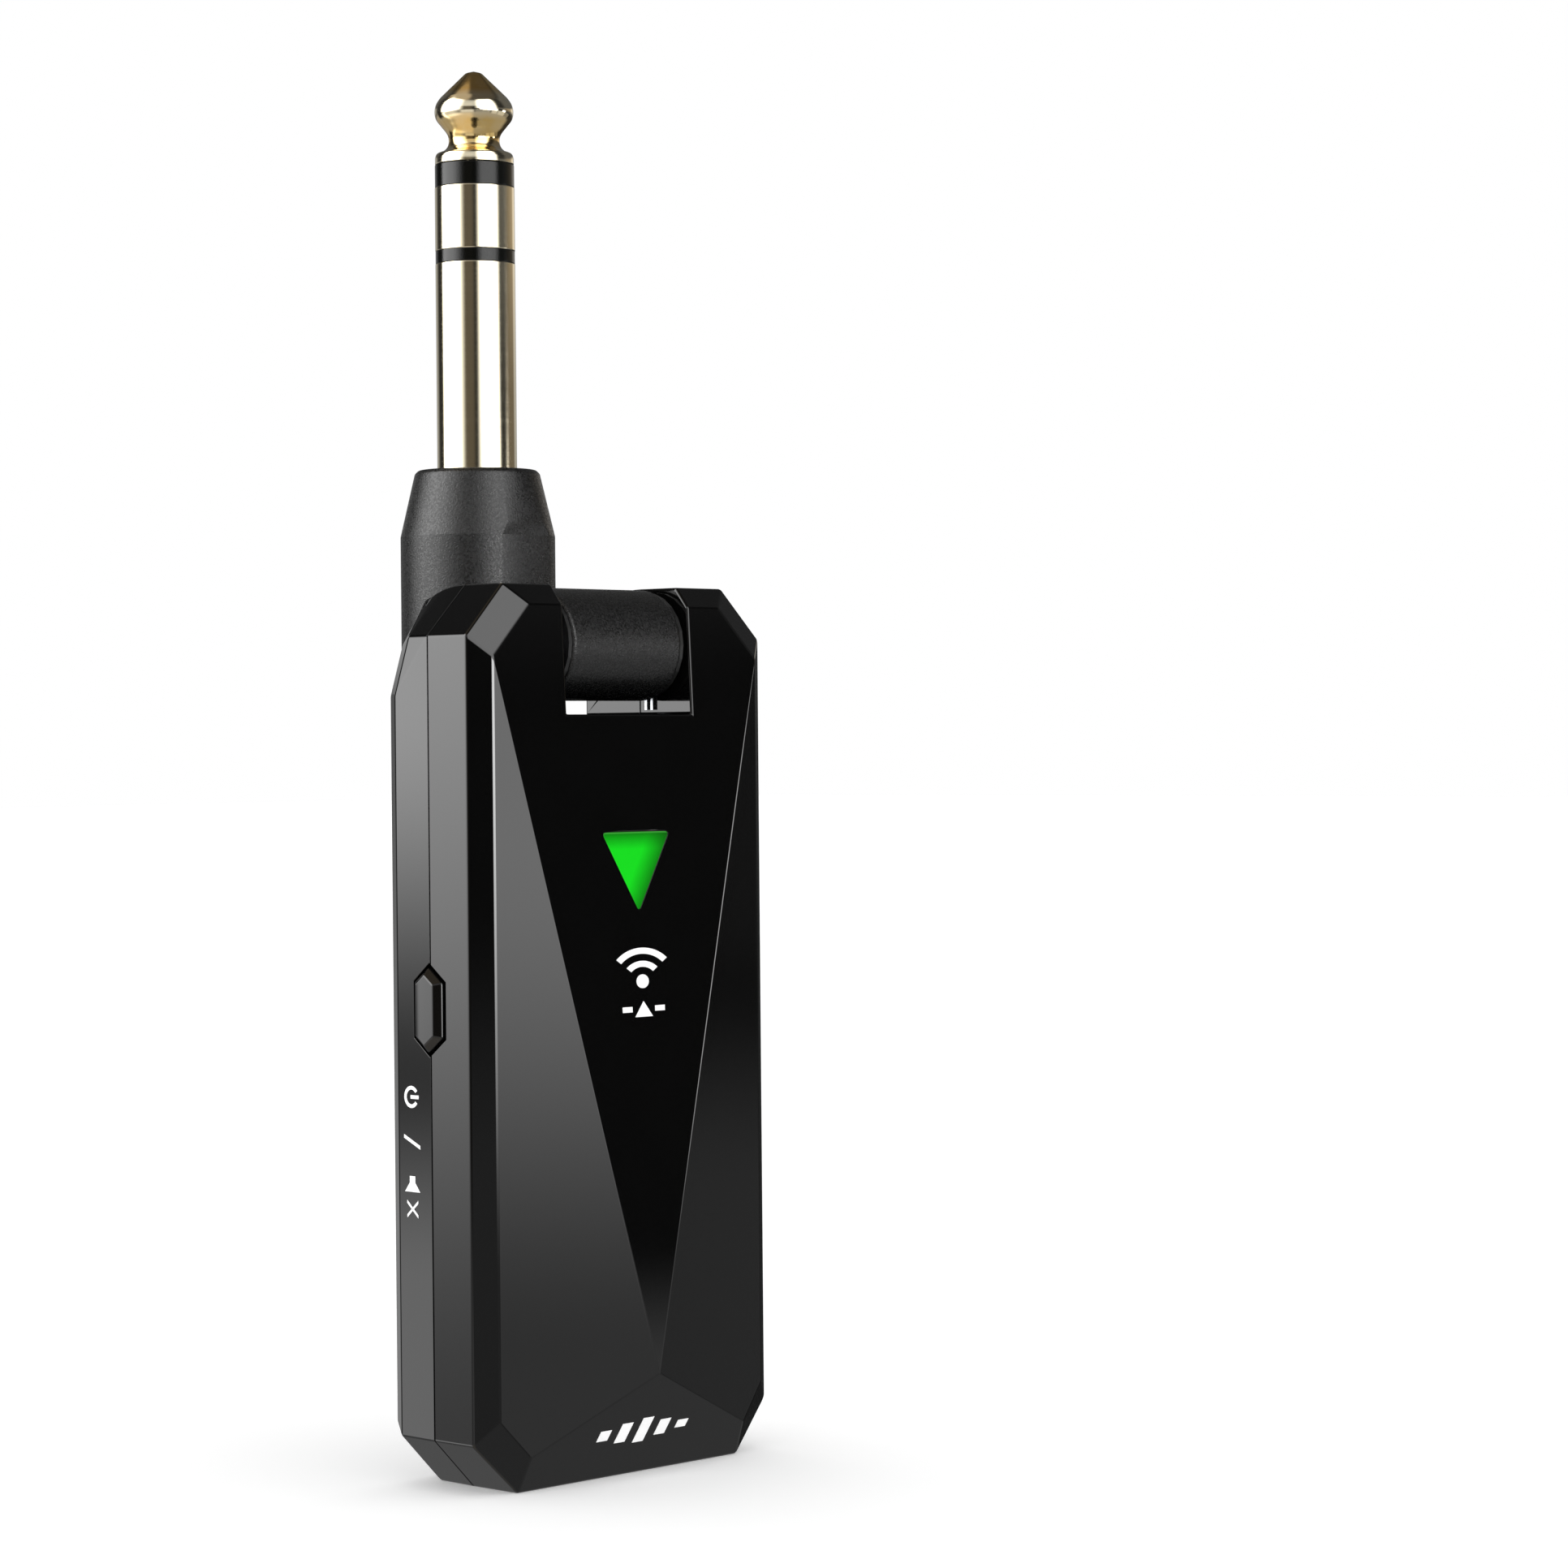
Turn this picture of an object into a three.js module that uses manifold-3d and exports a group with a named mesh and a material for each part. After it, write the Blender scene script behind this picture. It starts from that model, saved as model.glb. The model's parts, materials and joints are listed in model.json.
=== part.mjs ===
// Wireless guitar transmitter: a flat, faceted body whose plug folds on a hinge at its top.
// Millimetres, +Z up. The origin is the middle of the bottom face, midway through the thickness.
// The front, with the light, looks along -Y, and the plug stands up behind the body along +Z.
import * as THREE from "three";
import { ConvexGeometry } from "three/addons/geometries/ConvexGeometry.js";
import { RoundedBoxGeometry } from "three/addons/geometries/RoundedBoxGeometry.js";
import { mergeVertices } from "three/addons/utils/BufferGeometryUtils.js";
import Module from "manifold-3d";

const wasm = await Module();
wasm.setup();

// ---------------------------------------------------------------- driving dimensions

const GAP = 0.05; // between pieces that sit against each other
const ROUND = 24; // segments of a large circle
const SMALL_ROUND = 12; // segments of a small one

// body
const WIDTH = 31.6;
const HEIGHT = 68.6;
const FRONT = -5.85;
const BACK = 5.85;
const SEAM = -0.35; // the plane where the two shells meet
const WALL = 1.5;
const THIN_WALL = 0.8; // behind the bosses and ribs, where they run into the wall
const CORNER = 3.95; // leg of the 45 degree cut at each corner
const HALF = WIDTH / 2;

// facets of the front
const BEVEL_X = 1.63;
const BEVEL_Y = 1.25;
const PEAK = { y: -8.6, z: 8.05 }; // the raised point where the V of the front ends
const TOP_CHAMFER = 1.57; // height of the sloping strip along the front's top edge
const SIDE_PANEL_FOOT = { cornerZ: 5.68, x: 11.5, z: 2.75 }; // the side panels' two lowest corners

// facets of the back
const BACK_BEVEL = { x: 1.6, y: 2.26 };
const SLANT = { z: 60.2, endY: 3.35, endZ: 67 }; // the back leans forward above this height

// hinge notch and hinge
const NOTCH_HALF = 6.74;
const NOTCH_FLOOR = 58.67;
const HINGE = { y: -1.55, z: 64.1 };
const BARREL = { radius: 4.35, half: 5.8, edge: 0.25 };
const PIVOT = { radius: 1.9, hollow: 1, inner: 1.8, outer: 11.4 };
const BEARING_PLAY = 0.2;
const BEARING_RIB = { from: 9.2, to: 10.4 };
const WASHER = { inner: 2.05, outer: 4.2, thickness: 0.34 };
const SPRING = { inner: 2.15, outer: 3.3, thickness: 0.15, wave: 0.12, room: 0.42 };
const SPRING_TAB = { half: 0.6, reach: 5.1 };
const CIRCLIP = { outer: 2.7, thickness: 0.4, gap: 1.6, clearance: 0.1 };

// plug arm, measured from the hinge axis
const BOOT = { y: 12.6, radius: 6.15, flat: 5.6, shoulder: 8.86, topRadius: 4.98, top: 14.16 };
const BOOT_FOOT = { z: -3.9, round: 1.6 };
const BOOT_EDGE = { across: 0.5, down: 0.66 };
const WEB = { half: 5.4, height: 7.8 };
const BOOT_CAVITY = { radius: 4.4, floor: -3, ceiling: 4.6 };
const WIRE_CHANNEL = 1.3;

// standard 6.35 mm three-pole plug, measured from its seat
const PLUG_RADIUS = 3.175;
const PLUG_LENGTH = 31.78;
const RING_BAND = [16.42, 17.45];
const TIP_BAND = [22.49, 24.29];
const TIP_WAIST = { radius: 2.02, height: 26.13 };
const TIP_BALL = { radius: 3.14, height: 28.53 };
const TIP_CONE = { radius: 2.67, height: 29.64, point: 0.64 };
// The plug's core: three tubes, one inside the next, around the tip's rod.
const CORE = { rod: 0.8, tip: [0.85, 1.35], ring: [1.4, 1.9], sleeve: [1.95, 2.4], bore: 2.45 };
const FLANGE = { from: -11.16, to: -9.66, radius: 4.3 };
const TERMINAL = { thickness: 0.3, tab: 0.5 };

// board and what stands on it
const BOARD = { front: -1.5, back: -0.7, half: 13.1, bottom: 3.6, top: 56.4 };
const SCREWS = [
  [-10.4, 53],
  [10.4, 53],
  [-10.4, 6.8],
  [10.4, 6.8],
];
const SCREW = { head: 1.6, headHeight: 1, shank: 0.6, length: 7, recess: 1.7, cross: 0.2 };
const BOSS = { front: 2.4, rear: 2.3, spigot: 1.6, pilot: 0.7, clearance: 1, counterbore: 1.8 };
const BUTTON = { y: -0.2, z: 36.45, length: 7.1, width: 3.65, point: 1.4, proud: 0.6 };
const BUTTON_INSET = { sides: 0.3, face: 0.9, flange: -0.5 };
const SWITCH = { x: -HALF + 2.9, y: 0.75, depth: 3, halfWidth: 1.4, halfHeight: 1.8, plunger: 0.65 };
const LIGHT = { top: 49.6, bottom: 43.6, half: 3.5, corner: 0.45 };
const LENS = { sunk: 0.12, back: 1.5, flange: 0.8, flangeDepth: 0.55 };
const SHROUD = { half: 2.6, wall: 0.6, bottom: 44.2, top: 49.4 };
const PORT = { y: 0.95, z: 14, length: 8.9, height: 3.2, play: 0.2 };
const SOCKET = { wall: 0.3, depth: 7.6, tongue: 3.3, tongueThickness: 0.7 };
const BATTERY = { width: 20, thickness: 4, length: 27, x: 0.8, y: 1.95, z: 35.8 };
const BATTERY_TAPE = { half: 8, halfLength: 11, thickness: 0.3 };
const BATTERY_SOCKET = { x: -3, z: 17, half: 2.5, halfHeight: 1.5, depth: 1.8 };
const ANTENNA = { half: 6, height: 2.5, strip: 0.8, legs: 2.2, thickness: 0.4, z: 4.6 };
const SIGNAL_WIRE = { radius: 0.32, apart: 0.42 };
const LEAD_RADIUS = 0.35;

// ---------------------------------------------------------------- materials

const finish = (color, roughness, metalness = 0) =>
  new THREE.MeshStandardMaterial({ color, roughness, metalness });

const glossBlack = finish(0x0b0b0c, 0.12);
const grainBlack = finish(0x1b1b1c, 0.62);
const nylonBlack = finish(0x161616, 0.5);
const insulatorGrey = finish(0x2c2e2b, 0.45);
const nickel = finish(0xe9e2d2, 0.14, 1);
const steel = finish(0xb9bcc0, 0.3, 1);
const gold = finish(0xd9a441, 0.3, 1);
const greenLens = finish(0x19e01f, 0.25);
const whitePlastic = finish(0xf2f2ee, 0.5);
const boardGreen = finish(0x0d3b24, 0.5);
const chipBlack = finish(0x101114, 0.55);
const foilSilver = finish(0xb4b7bb, 0.38, 0.6);
const tapeWhite = finish(0xe6e4dc, 0.8);
const redWire = finish(0xb3201c, 0.45);
const blackWire = finish(0x17171a, 0.45);
const whiteWire = finish(0xdedcd5, 0.45);

// ---------------------------------------------------------------- making and joining solids

// A closed geometry as a solid that can be joined and cut.
function solid(geometry) {
  const bare = geometry.clone();
  bare.deleteAttribute("normal");
  bare.deleteAttribute("uv");
  const merged = mergeVertices(bare, 1e-4);
  return new wasm.Manifold(
    new wasm.Mesh({
      numProp: 3,
      vertProperties: merged.attributes.position.array,
      triVerts: new Uint32Array(merged.index.array),
    }),
  );
}

// A solid's faces as a geometry.
function geometryOf(body) {
  const { vertProperties, triVerts } = body.getMesh();
  return new THREE.BufferGeometry()
    .setAttribute("position", new THREE.BufferAttribute(vertProperties, 3))
    .setIndex(new THREE.BufferAttribute(triVerts, 1));
}

const join = (first, ...others) =>
  geometryOf(others.reduce((sum, other) => sum.add(solid(other)), solid(first)));
const cut = (first, ...others) =>
  geometryOf(others.reduce((left, other) => left.subtract(solid(other)), solid(first)));
const common = (first, second) => geometryOf(solid(first).intersect(solid(second)));

// ---------------------------------------------------------------- shapes

const X = new THREE.Vector3(1, 0, 0);
const Y = new THREE.Vector3(0, 1, 0);
const Z = new THREE.Vector3(0, 0, 1);
const outline = (points) => new THREE.Shape(points.map(([a, b]) => new THREE.Vector2(a, b)));

function extrude(shape, depth, axes) {
  const geometry = new THREE.ExtrudeGeometry(shape, {
    depth,
    bevelEnabled: false,
    curveSegments: 6,
  });
  return geometry.applyMatrix4(new THREE.Matrix4().makeBasis(...axes));
}

// An (x, z) outline, solid from one y to another.
const slabY = (shape, from, to) =>
  extrude(shape, to - from, [X, Z, Y.clone().negate()]).translate(0, to, 0);

// A (y, z) outline, solid from one x to another.
const slabX = (shape, from, to) => extrude(shape, to - from, [Y, Z, X]).translate(from, 0, 0);

// An axis-aligned box between two corners.
function block([x0, y0, z0], [x1, y1, z1]) {
  const box = new THREE.BoxGeometry(x1 - x0, y1 - y0, z1 - z0);
  return box.translate((x0 + x1) / 2, (y0 + y1) / 2, (z0 + z1) / 2);
}

// A round bar along X or Y between two places on that axis.
const barX = (radius, from, to, segments = ROUND) =>
  new THREE.CylinderGeometry(radius, radius, to - from, segments)
    .rotateZ(-Math.PI / 2)
    .translate((from + to) / 2, 0, 0);
const barY = (radius, from, to, segments = SMALL_ROUND) =>
  new THREE.CylinderGeometry(radius, radius, to - from, segments).translate(0, (from + to) / 2, 0);

// A (radius, height) profile turned about the Z axis.
const turned = (profile, segments = ROUND) =>
  new THREE.LatheGeometry(
    profile.map(([r, h]) => new THREE.Vector2(r, h)),
    segments,
  ).rotateX(Math.PI / 2);

// The closed profile of a flat ring or tube.
const ringProfile = (inner, outer, from, to) => [
  [inner, from],
  [outer, from],
  [outer, to],
  [inner, to],
  [inner, from],
];

// Points along an arc of a circle, from one angle to another, in degrees.
function arc(cx, cy, radius, from, to, steps) {
  return Array.from({ length: steps + 1 }, (_, i) => {
    const angle = THREE.MathUtils.degToRad(from + ((to - from) * i) / steps);
    return [cx + radius * Math.cos(angle), cy + radius * Math.sin(angle)];
  });
}

// A closed outline whose corners are rounded, each curve starting at reach from its corner.
function filleted(corners, reach) {
  const shape = new THREE.Shape();
  const points = corners.map(([a, b]) => new THREE.Vector2(a, b));
  points.forEach((corner, i) => {
    const before = points.at(i - 1).clone().sub(corner).setLength(reach).add(corner);
    const after = points[(i + 1) % points.length].clone().sub(corner).setLength(reach).add(corner);
    if (i === 0) shape.moveTo(before.x, before.y);
    else shape.lineTo(before.x, before.y);
    shape.quadraticCurveTo(corner.x, corner.y, after.x, after.y);
  });
  shape.closePath();
  return shape;
}

// A round wire through a list of points.
function wire(points, radius) {
  const path = new THREE.CatmullRomCurve3(points.map((p) => new THREE.Vector3(...p)));
  const section = new THREE.Shape().absarc(0, 0, radius, 0, 2 * Math.PI);
  return new THREE.ExtrudeGeometry(section, {
    steps: 5 * (points.length - 1),
    curveSegments: 3,
    bevelEnabled: false,
    extrudePath: path,
  });
}

function piece(name, geometry, material, [x, y, z] = [0, 0, 0]) {
  const mesh = new THREE.Mesh(geometry, material);
  mesh.name = name;
  mesh.position.set(x, y, z);
  return mesh;
}

function group(children, [x, y, z] = [0, 0, 0]) {
  const made = new THREE.Group();
  made.position.set(x, y, z);
  made.add(...children);
  return made;
}

// ---------------------------------------------------------------- shells

// The body's outline seen from the front, with the hinge notch, drawn inside the true one by inset.
function bodyOutline(inset) {
  const half = HALF - inset;
  const cutLeg = CORNER - inset * (2 - Math.SQRT2);
  const top = HEIGHT - inset;
  const notch = NOTCH_HALF + inset;
  const floor = NOTCH_FLOOR - inset;
  return outline([
    [-half + cutLeg, inset],
    [half - cutLeg, inset],
    [half, inset + cutLeg],
    [half, top - cutLeg],
    [half - cutLeg, top],
    [notch, top],
    [notch, floor],
    [-notch, floor],
    [-notch, top],
    [-half + cutLeg, top],
    [-half, top - cutLeg],
    [-half, inset + cutLeg],
  ]);
}

// The eight corners of the plain outline at one depth, as [x, y, z].
function octagonAt(y) {
  const right = [
    [HALF - CORNER, y, 0],
    [HALF, y, CORNER],
    [HALF, y, HEIGHT - CORNER],
    [HALF - CORNER, y, HEIGHT],
  ];
  return bothSides(right);
}

const bothSides = (points) => points.flatMap(([x, y, z]) => [[x, y, z], [-x, y, z]]);
const hull = (points) => new ConvexGeometry(points.map((p) => new THREE.Vector3(...p)));

// The front is a V-shaped centre panel between two side panels, all meeting at the raised peak,
// with one panel below them. Each is flat, so their corners' depths follow from the peak.
function frontHull() {
  const rim = FRONT + BEVEL_Y;
  const panel = HALF - BEVEL_X;
  const topZ = HEIGHT - CORNER - TOP_CHAMFER;
  const centreLean = ((PEAK.y - FRONT) / (PEAK.z - topZ)) * CORNER;
  const foot = SIDE_PANEL_FOOT;
  const footY = FRONT + ((PEAK.y - FRONT) / panel) * (panel - foot.x);
  const bottomY = footY - ((PEAK.y - footY) / (PEAK.z - foot.z)) * foot.z;
  return hull([
    ...octagonAt(SEAM),
    ...bothSides([
      [HALF, rim, CORNER],
      [HALF, rim, HEIGHT - CORNER],
      [HALF - CORNER, rim + centreLean, HEIGHT],
      [HALF - CORNER, bottomY, 0],
      [panel, FRONT, topZ],
      [panel - CORNER, FRONT + centreLean, topZ + CORNER],
      [panel, FRONT, foot.cornerZ],
      [foot.x, footY, foot.z],
    ]),
    [0, PEAK.y, PEAK.z],
  ]);
}

function rearHull() {
  const edge = BACK - BACK_BEVEL.y;
  const panel = HALF - BACK_BEVEL.x;
  const bevelTurn = BACK_BEVEL.x * (Math.SQRT2 - 1);
  const lean = (BACK - SLANT.endY) / (SLANT.endZ - SLANT.z);
  const cornerZ = HEIGHT - CORNER;
  const shoulder = new THREE.QuadraticBezierCurve(
    new THREE.Vector2(SLANT.endY, SLANT.endZ),
    new THREE.Vector2(SLANT.endY - 0.6, HEIGHT),
    new THREE.Vector2(SEAM, HEIGHT),
  );
  return hull([
    ...octagonAt(SEAM),
    ...bothSides([
      [HALF, edge, CORNER],
      [HALF, edge, SLANT.z],
      [HALF, edge - lean * (cornerZ - SLANT.z), cornerZ],
      [HALF - CORNER, edge, 0],
      [panel, BACK, CORNER + bevelTurn],
      [panel - CORNER + bevelTurn, BACK, BACK_BEVEL.x],
      [panel, BACK, SLANT.z],
      [panel, BACK - lean * (cornerZ - SLANT.z - bevelTurn), cornerZ - bevelTurn],
      ...shoulder.getPoints(5).map(({ x, y }) => [HALF - CORNER + 0.7 * (HEIGHT - y), x, y]),
    ]),
  ]);
}

const notchBlock = () => block([-NOTCH_HALF, -10, NOTCH_FLOOR], [NOTCH_HALF, 10, HEIGHT + 2]);
const atHinge = (geometry) => geometry.translate(0, HINGE.y, HINGE.z);

// The two ribs, one in each prong, that carry the outer ends of the pivots.
function bearingRibs(from, to) {
  return [-1, 1].map((side) => {
    const ends = [side * BEARING_RIB.from, side * BEARING_RIB.to].sort((a, b) => a - b);
    return block([ends[0], from, NOTCH_FLOOR], [ends[1], to, HEIGHT - WALL]);
  });
}

// An elongated hexagon with its points up and down, larger than the button by grow.
function buttonOutline(grow) {
  const half = BUTTON.width / 2 + grow;
  const tip = BUTTON.length / 2 + grow;
  const shoulder = tip - BUTTON.point * (half / (BUTTON.width / 2));
  return outline(
    [
      [0, tip],
      [-half, shoulder],
      [-half, -shoulder],
      [0, -tip],
      [half, -shoulder],
      [half, shoulder],
    ].map(([y, z]) => [BUTTON.y + y, BUTTON.z + z]),
  );
}

// The charging port's stadium outline, larger than the socket by grow.
function portOutline(grow) {
  const radius = PORT.height / 2 + grow;
  const reach = PORT.length / 2 + grow - radius;
  return outline([
    ...arc(PORT.y, PORT.z + reach, radius, 0, 180, 8),
    ...arc(PORT.y, PORT.z - reach, radius, 180, 360, 8),
  ]);
}

// The light's triangle, point down and with rounded corners, larger than the window by grow.
function lightOutline(grow) {
  const slope = Math.atan2(LIGHT.top - LIGHT.bottom, LIGHT.half);
  const half = LIGHT.half + grow / Math.tan(slope / 2);
  const corners = [
    [half, LIGHT.top + grow],
    [-half, LIGHT.top + grow],
    [0, LIGHT.bottom - grow / Math.cos(slope)],
  ];
  return filleted(corners, LIGHT.corner);
}

const screwPlaces = (make) => SCREWS.map(([x, z]) => make().translate(x, 0, z));

function frontShell() {
  const outer = frontHull();
  const inner = common(
    slabY(bodyOutline(WALL), PEAK.y, SEAM + 1),
    frontHull().translate(0, WALL, 0),
  );
  const hollow = cut(outer, notchBlock(), inner);
  const bosses = screwPlaces(() =>
    join(
      barY(BOSS.front, FRONT + THIN_WALL, BOARD.front - GAP),
      barY(BOSS.spigot, BOARD.front - 1, SEAM),
    ),
  );
  const play = PIVOT.radius + BEARING_PLAY;
  const slot = slabX(
    outline([
      [HINGE.y, HINGE.z - play],
      [SEAM + 1, HINGE.z - play],
      [SEAM + 1, HINGE.z + play],
      [HINGE.y, HINGE.z + play],
    ]),
    -BEARING_RIB.to - 1,
    BEARING_RIB.to + 1,
  );
  return cut(
    join(hollow, ...bosses, ...bearingRibs(FRONT + THIN_WALL, SEAM)),
    ...screwPlaces(() => barY(BOSS.pilot, FRONT + 2 * THIN_WALL, SEAM + 1)),
    atHinge(barX(play, -BEARING_RIB.to - 1, BEARING_RIB.to + 1)),
    slot,
    slabY(lightOutline(0), PEAK.y, BOARD.front - 1),
    slabX(buttonOutline(0), -HALF - 1, -HALF + 2 * WALL),
    slabX(portOutline(PORT.play), HALF - 2 * WALL, HALF + 1),
  );
}

function rearShell() {
  const outer = rearHull();
  const inner = common(
    slabY(bodyOutline(WALL), SEAM - 1, BACK),
    rearHull().translate(0, -WALL, 0),
  );
  const hollow = cut(outer, notchBlock(), inner);
  const bosses = screwPlaces(() => barY(BOSS.rear, SEAM + GAP, BACK - THIN_WALL));
  return cut(
    join(hollow, ...bosses, ...bearingRibs(SEAM, SLANT.endY - GAP)),
    ...screwPlaces(() => barY(BOSS.clearance, SEAM - 1, BACK + 1)),
    ...screwPlaces(() => barY(BOSS.counterbore, BACK - SCREW.recess, BACK + 1)),
    atHinge(barX(PIVOT.radius + BEARING_PLAY, -BEARING_RIB.to - 1, BEARING_RIB.to + 1)),
    slabX(buttonOutline(0), -HALF - 1, -HALF + 2 * WALL),
    slabX(portOutline(PORT.play), HALF - 2 * WALL, HALF + 1),
  );
}

// ---------------------------------------------------------------- light, button and switch

function ledLens() {
  const back = FRONT + LENS.back;
  const window = slabY(lightOutline(-GAP), PEAK.y, back);
  const sunk = frontHull().translate(0, LENS.sunk, 0);
  const flange = slabY(lightOutline(LENS.flange), back - LENS.flangeDepth, back);
  return join(common(window, sunk), flange);
}

// A white tube that keeps the status light's glow behind the lens.
function lightShroud() {
  const { half, wall, bottom, top } = SHROUD;
  return cut(
    block([-half, FRONT + LENS.back + GAP, bottom], [half, BOARD.front - GAP, top]),
    block([wall - half, FRONT, bottom + wall], [half - wall, 0, top - wall]),
  );
}

function powerButton() {
  const face = (inset, x) =>
    buttonOutline(-inset)
      .getPoints()
      .map(({ x: y, y: z }) => [x, y, z]);
  const { sides, face: faceInset, flange } = BUTTON_INSET;
  const inside = WALL - HALF;
  const cap = hull([
    ...face(sides, inside + 0.4),
    ...face(sides, -HALF),
    ...face(faceInset, -HALF - BUTTON.proud),
  ]);
  return join(cap, slabX(buttonOutline(-flange), inside + 0.15, inside + 0.6));
}

function switchBody() {
  const { depth, halfWidth, halfHeight, plunger } = SWITCH;
  const box = block([0, -halfWidth, -halfHeight], [depth, halfWidth, halfHeight]);
  return cut(box, barX(plunger + 0.1, -1, 1.4, SMALL_ROUND));
}

const switchPlunger = () => barX(SWITCH.plunger, -0.75, 0.9, SMALL_ROUND);

// ---------------------------------------------------------------- board and battery

function mainBoard() {
  const board = block(
    [-BOARD.half, BOARD.front, BOARD.bottom],
    [BOARD.half, BOARD.back, BOARD.top],
  );
  return cut(board, ...screwPlaces(() => barY(BOSS.counterbore, BOARD.front - 1, BOARD.back + 1)));
}

// A chip or a can on the board's front: its width, height and thickness, and where it stands.
const onBoard = (name, [width, height, thickness], material, x, z) =>
  piece(name, new THREE.BoxGeometry(width, thickness, height), material, [
    x,
    BOARD.front - GAP - thickness / 2,
    z,
  ]);

// An inverted-F strip of tinned steel: a bar along the board's lower edge on two legs at its left.
function antenna() {
  const { half, height, strip, legs, thickness } = ANTENNA;
  const leg = (x) => block([x, -thickness, 0], [x + strip, 0, height]);
  const bar = block([-half, -thickness, height - strip], [half, 0, height]);
  return join(bar, leg(-half), leg(-half + legs));
}

const chargingSocket = () =>
  cut(
    slabX(portOutline(0), HALF - SOCKET.depth, HALF - SOCKET.wall),
    slabX(portOutline(-SOCKET.wall), HALF - SOCKET.depth + 0.5, HALF + 1),
  );

function socketTongue() {
  const halfThickness = SOCKET.tongueThickness / 2;
  return block(
    [HALF - SOCKET.depth + 0.55, PORT.y - halfThickness, PORT.z - SOCKET.tongue],
    [HALF - 1, PORT.y + halfThickness, PORT.z + SOCKET.tongue],
  );
}

// A cross-head screw pointing along -Y, with the foot of its head at the origin.
function caseScrew() {
  const { head, headHeight, shank, length, cross } = SCREW;
  const arm = headHeight;
  return cut(
    join(barY(head, 0, headHeight), barY(shank, -length, 0.1)),
    block([-arm, 0.6 * headHeight, -cross], [arm, 2 * headHeight, cross]),
    block([-cross, 0.6 * headHeight, -arm], [cross, 2 * headHeight, arm]),
  );
}

// ---------------------------------------------------------------- hinge

function plugArm() {
  const boot = turned([
    [0, BOOT_FOOT.z],
    ...arc(BOOT.radius - BOOT_FOOT.round, BOOT_FOOT.z + BOOT_FOOT.round, BOOT_FOOT.round, -90, 0, 6),
    [BOOT.radius, BOOT.shoulder],
    [BOOT.topRadius, BOOT.top - BOOT_EDGE.down],
    [BOOT.topRadius - 0.3 * BOOT_EDGE.across, BOOT.top - 0.3 * BOOT_EDGE.down],
    [BOOT.topRadius - BOOT_EDGE.across, BOOT.top],
    [0, BOOT.top],
  ]).translate(0, BOOT.y, 0);
  const beyondFlat = block([-8, 0, -10], [8, BOOT.y - BOOT.flat, 20]);
  const { radius, half, edge } = BARREL;
  const barrel = turned([
    [0, -half],
    [radius - edge, -half],
    [radius, -half + edge],
    [radius, half - edge],
    [radius - edge, half],
    [0, half],
  ]).rotateY(Math.PI / 2);
  const web = block([-WEB.half, 0, -WEB.height / 2], [WEB.half, BOOT.y - 4, WEB.height / 2]);
  const cavity = turned([
    [0, BOOT_CAVITY.floor],
    [BOOT_CAVITY.radius, BOOT_CAVITY.floor],
    [BOOT_CAVITY.radius, BOOT_CAVITY.ceiling],
    [PLUG_RADIUS + GAP, BOOT_CAVITY.ceiling],
    [PLUG_RADIUS + GAP, BOOT.top + 1],
    [0, BOOT.top + 1],
  ]).translate(0, BOOT.y, 0);
  return cut(
    join(cut(boot, beyondFlat), barrel, web),
    cavity,
    barY(WIRE_CHANNEL, 0, BOOT.y),
    barX(PIVOT.radius + GAP, -half - 1, half + 1),
  );
}

const leftPivot = () =>
  cut(
    barX(PIVOT.radius, -PIVOT.outer, -PIVOT.inner),
    barX(PIVOT.hollow, -PIVOT.outer - 1, 0, SMALL_ROUND),
  );
const rightPivot = () => barX(PIVOT.radius, PIVOT.inner, PIVOT.outer);

// A flat washer about the X axis, between the barrel and a prong.
const frictionWasher = () =>
  turned(ringProfile(WASHER.inner, WASHER.outer, 0, WASHER.thickness)).rotateY(Math.PI / 2);

// A wavy spring washer about the X axis, with three crests and a tab that keeps it from turning.
function waveSpring() {
  const ring = turned(ringProfile(SPRING.inner, SPRING.outer, 0, SPRING.thickness));
  const place = ring.attributes.position;
  for (let i = 0; i < place.count; i += 1) {
    const angle = Math.atan2(place.getY(i), place.getX(i));
    place.setZ(i, place.getZ(i) + SPRING.wave * (1 + Math.cos(3 * angle)));
  }
  const { half, reach } = SPRING_TAB;
  const crest = 2 * SPRING.wave;
  const tab = block(
    [SPRING.outer - 0.3, -half, crest],
    [reach, half, crest + SPRING.thickness],
  );
  return join(ring, tab).rotateY(Math.PI / 2);
}

// A split retaining ring about the X axis, open towards +Y.
function circlip() {
  const { outer, thickness, gap } = CIRCLIP;
  const profile = ringProfile(PIVOT.radius + GAP, outer, 0, thickness);
  const ring = turned(profile).rotateY(Math.PI / 2);
  return cut(ring, block([-1, 0, -gap / 2], [1, outer + 1, gap / 2]));
}

// ---------------------------------------------------------------- plug

// The tip: a rod down the core, and above its band a waist, a ball and a blunt cone.
function plugTip() {
  const [, base] = TIP_BAND;
  const collar = PLUG_RADIUS - GAP;
  const curve = new THREE.SplineCurve([
    new THREE.Vector2(collar - 0.17, base + 0.5),
    new THREE.Vector2(TIP_WAIST.radius, TIP_WAIST.height),
    new THREE.Vector2(0.5 * (TIP_WAIST.radius + TIP_BALL.radius), TIP_WAIST.height + 1.21),
    new THREE.Vector2(TIP_BALL.radius, TIP_BALL.height),
    new THREE.Vector2(TIP_CONE.radius, TIP_CONE.height),
  ]);
  return turned([
    [0, -BOOT.top],
    [CORE.rod, -BOOT.top],
    [CORE.rod, base + GAP],
    [collar, base + GAP],
    [collar, base + 0.35],
    ...curve.getPoints(10).map(({ x, y }) => [x, y]),
    [TIP_CONE.point, PLUG_LENGTH - 0.16],
    [0, PLUG_LENGTH],
  ]);
}

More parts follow.
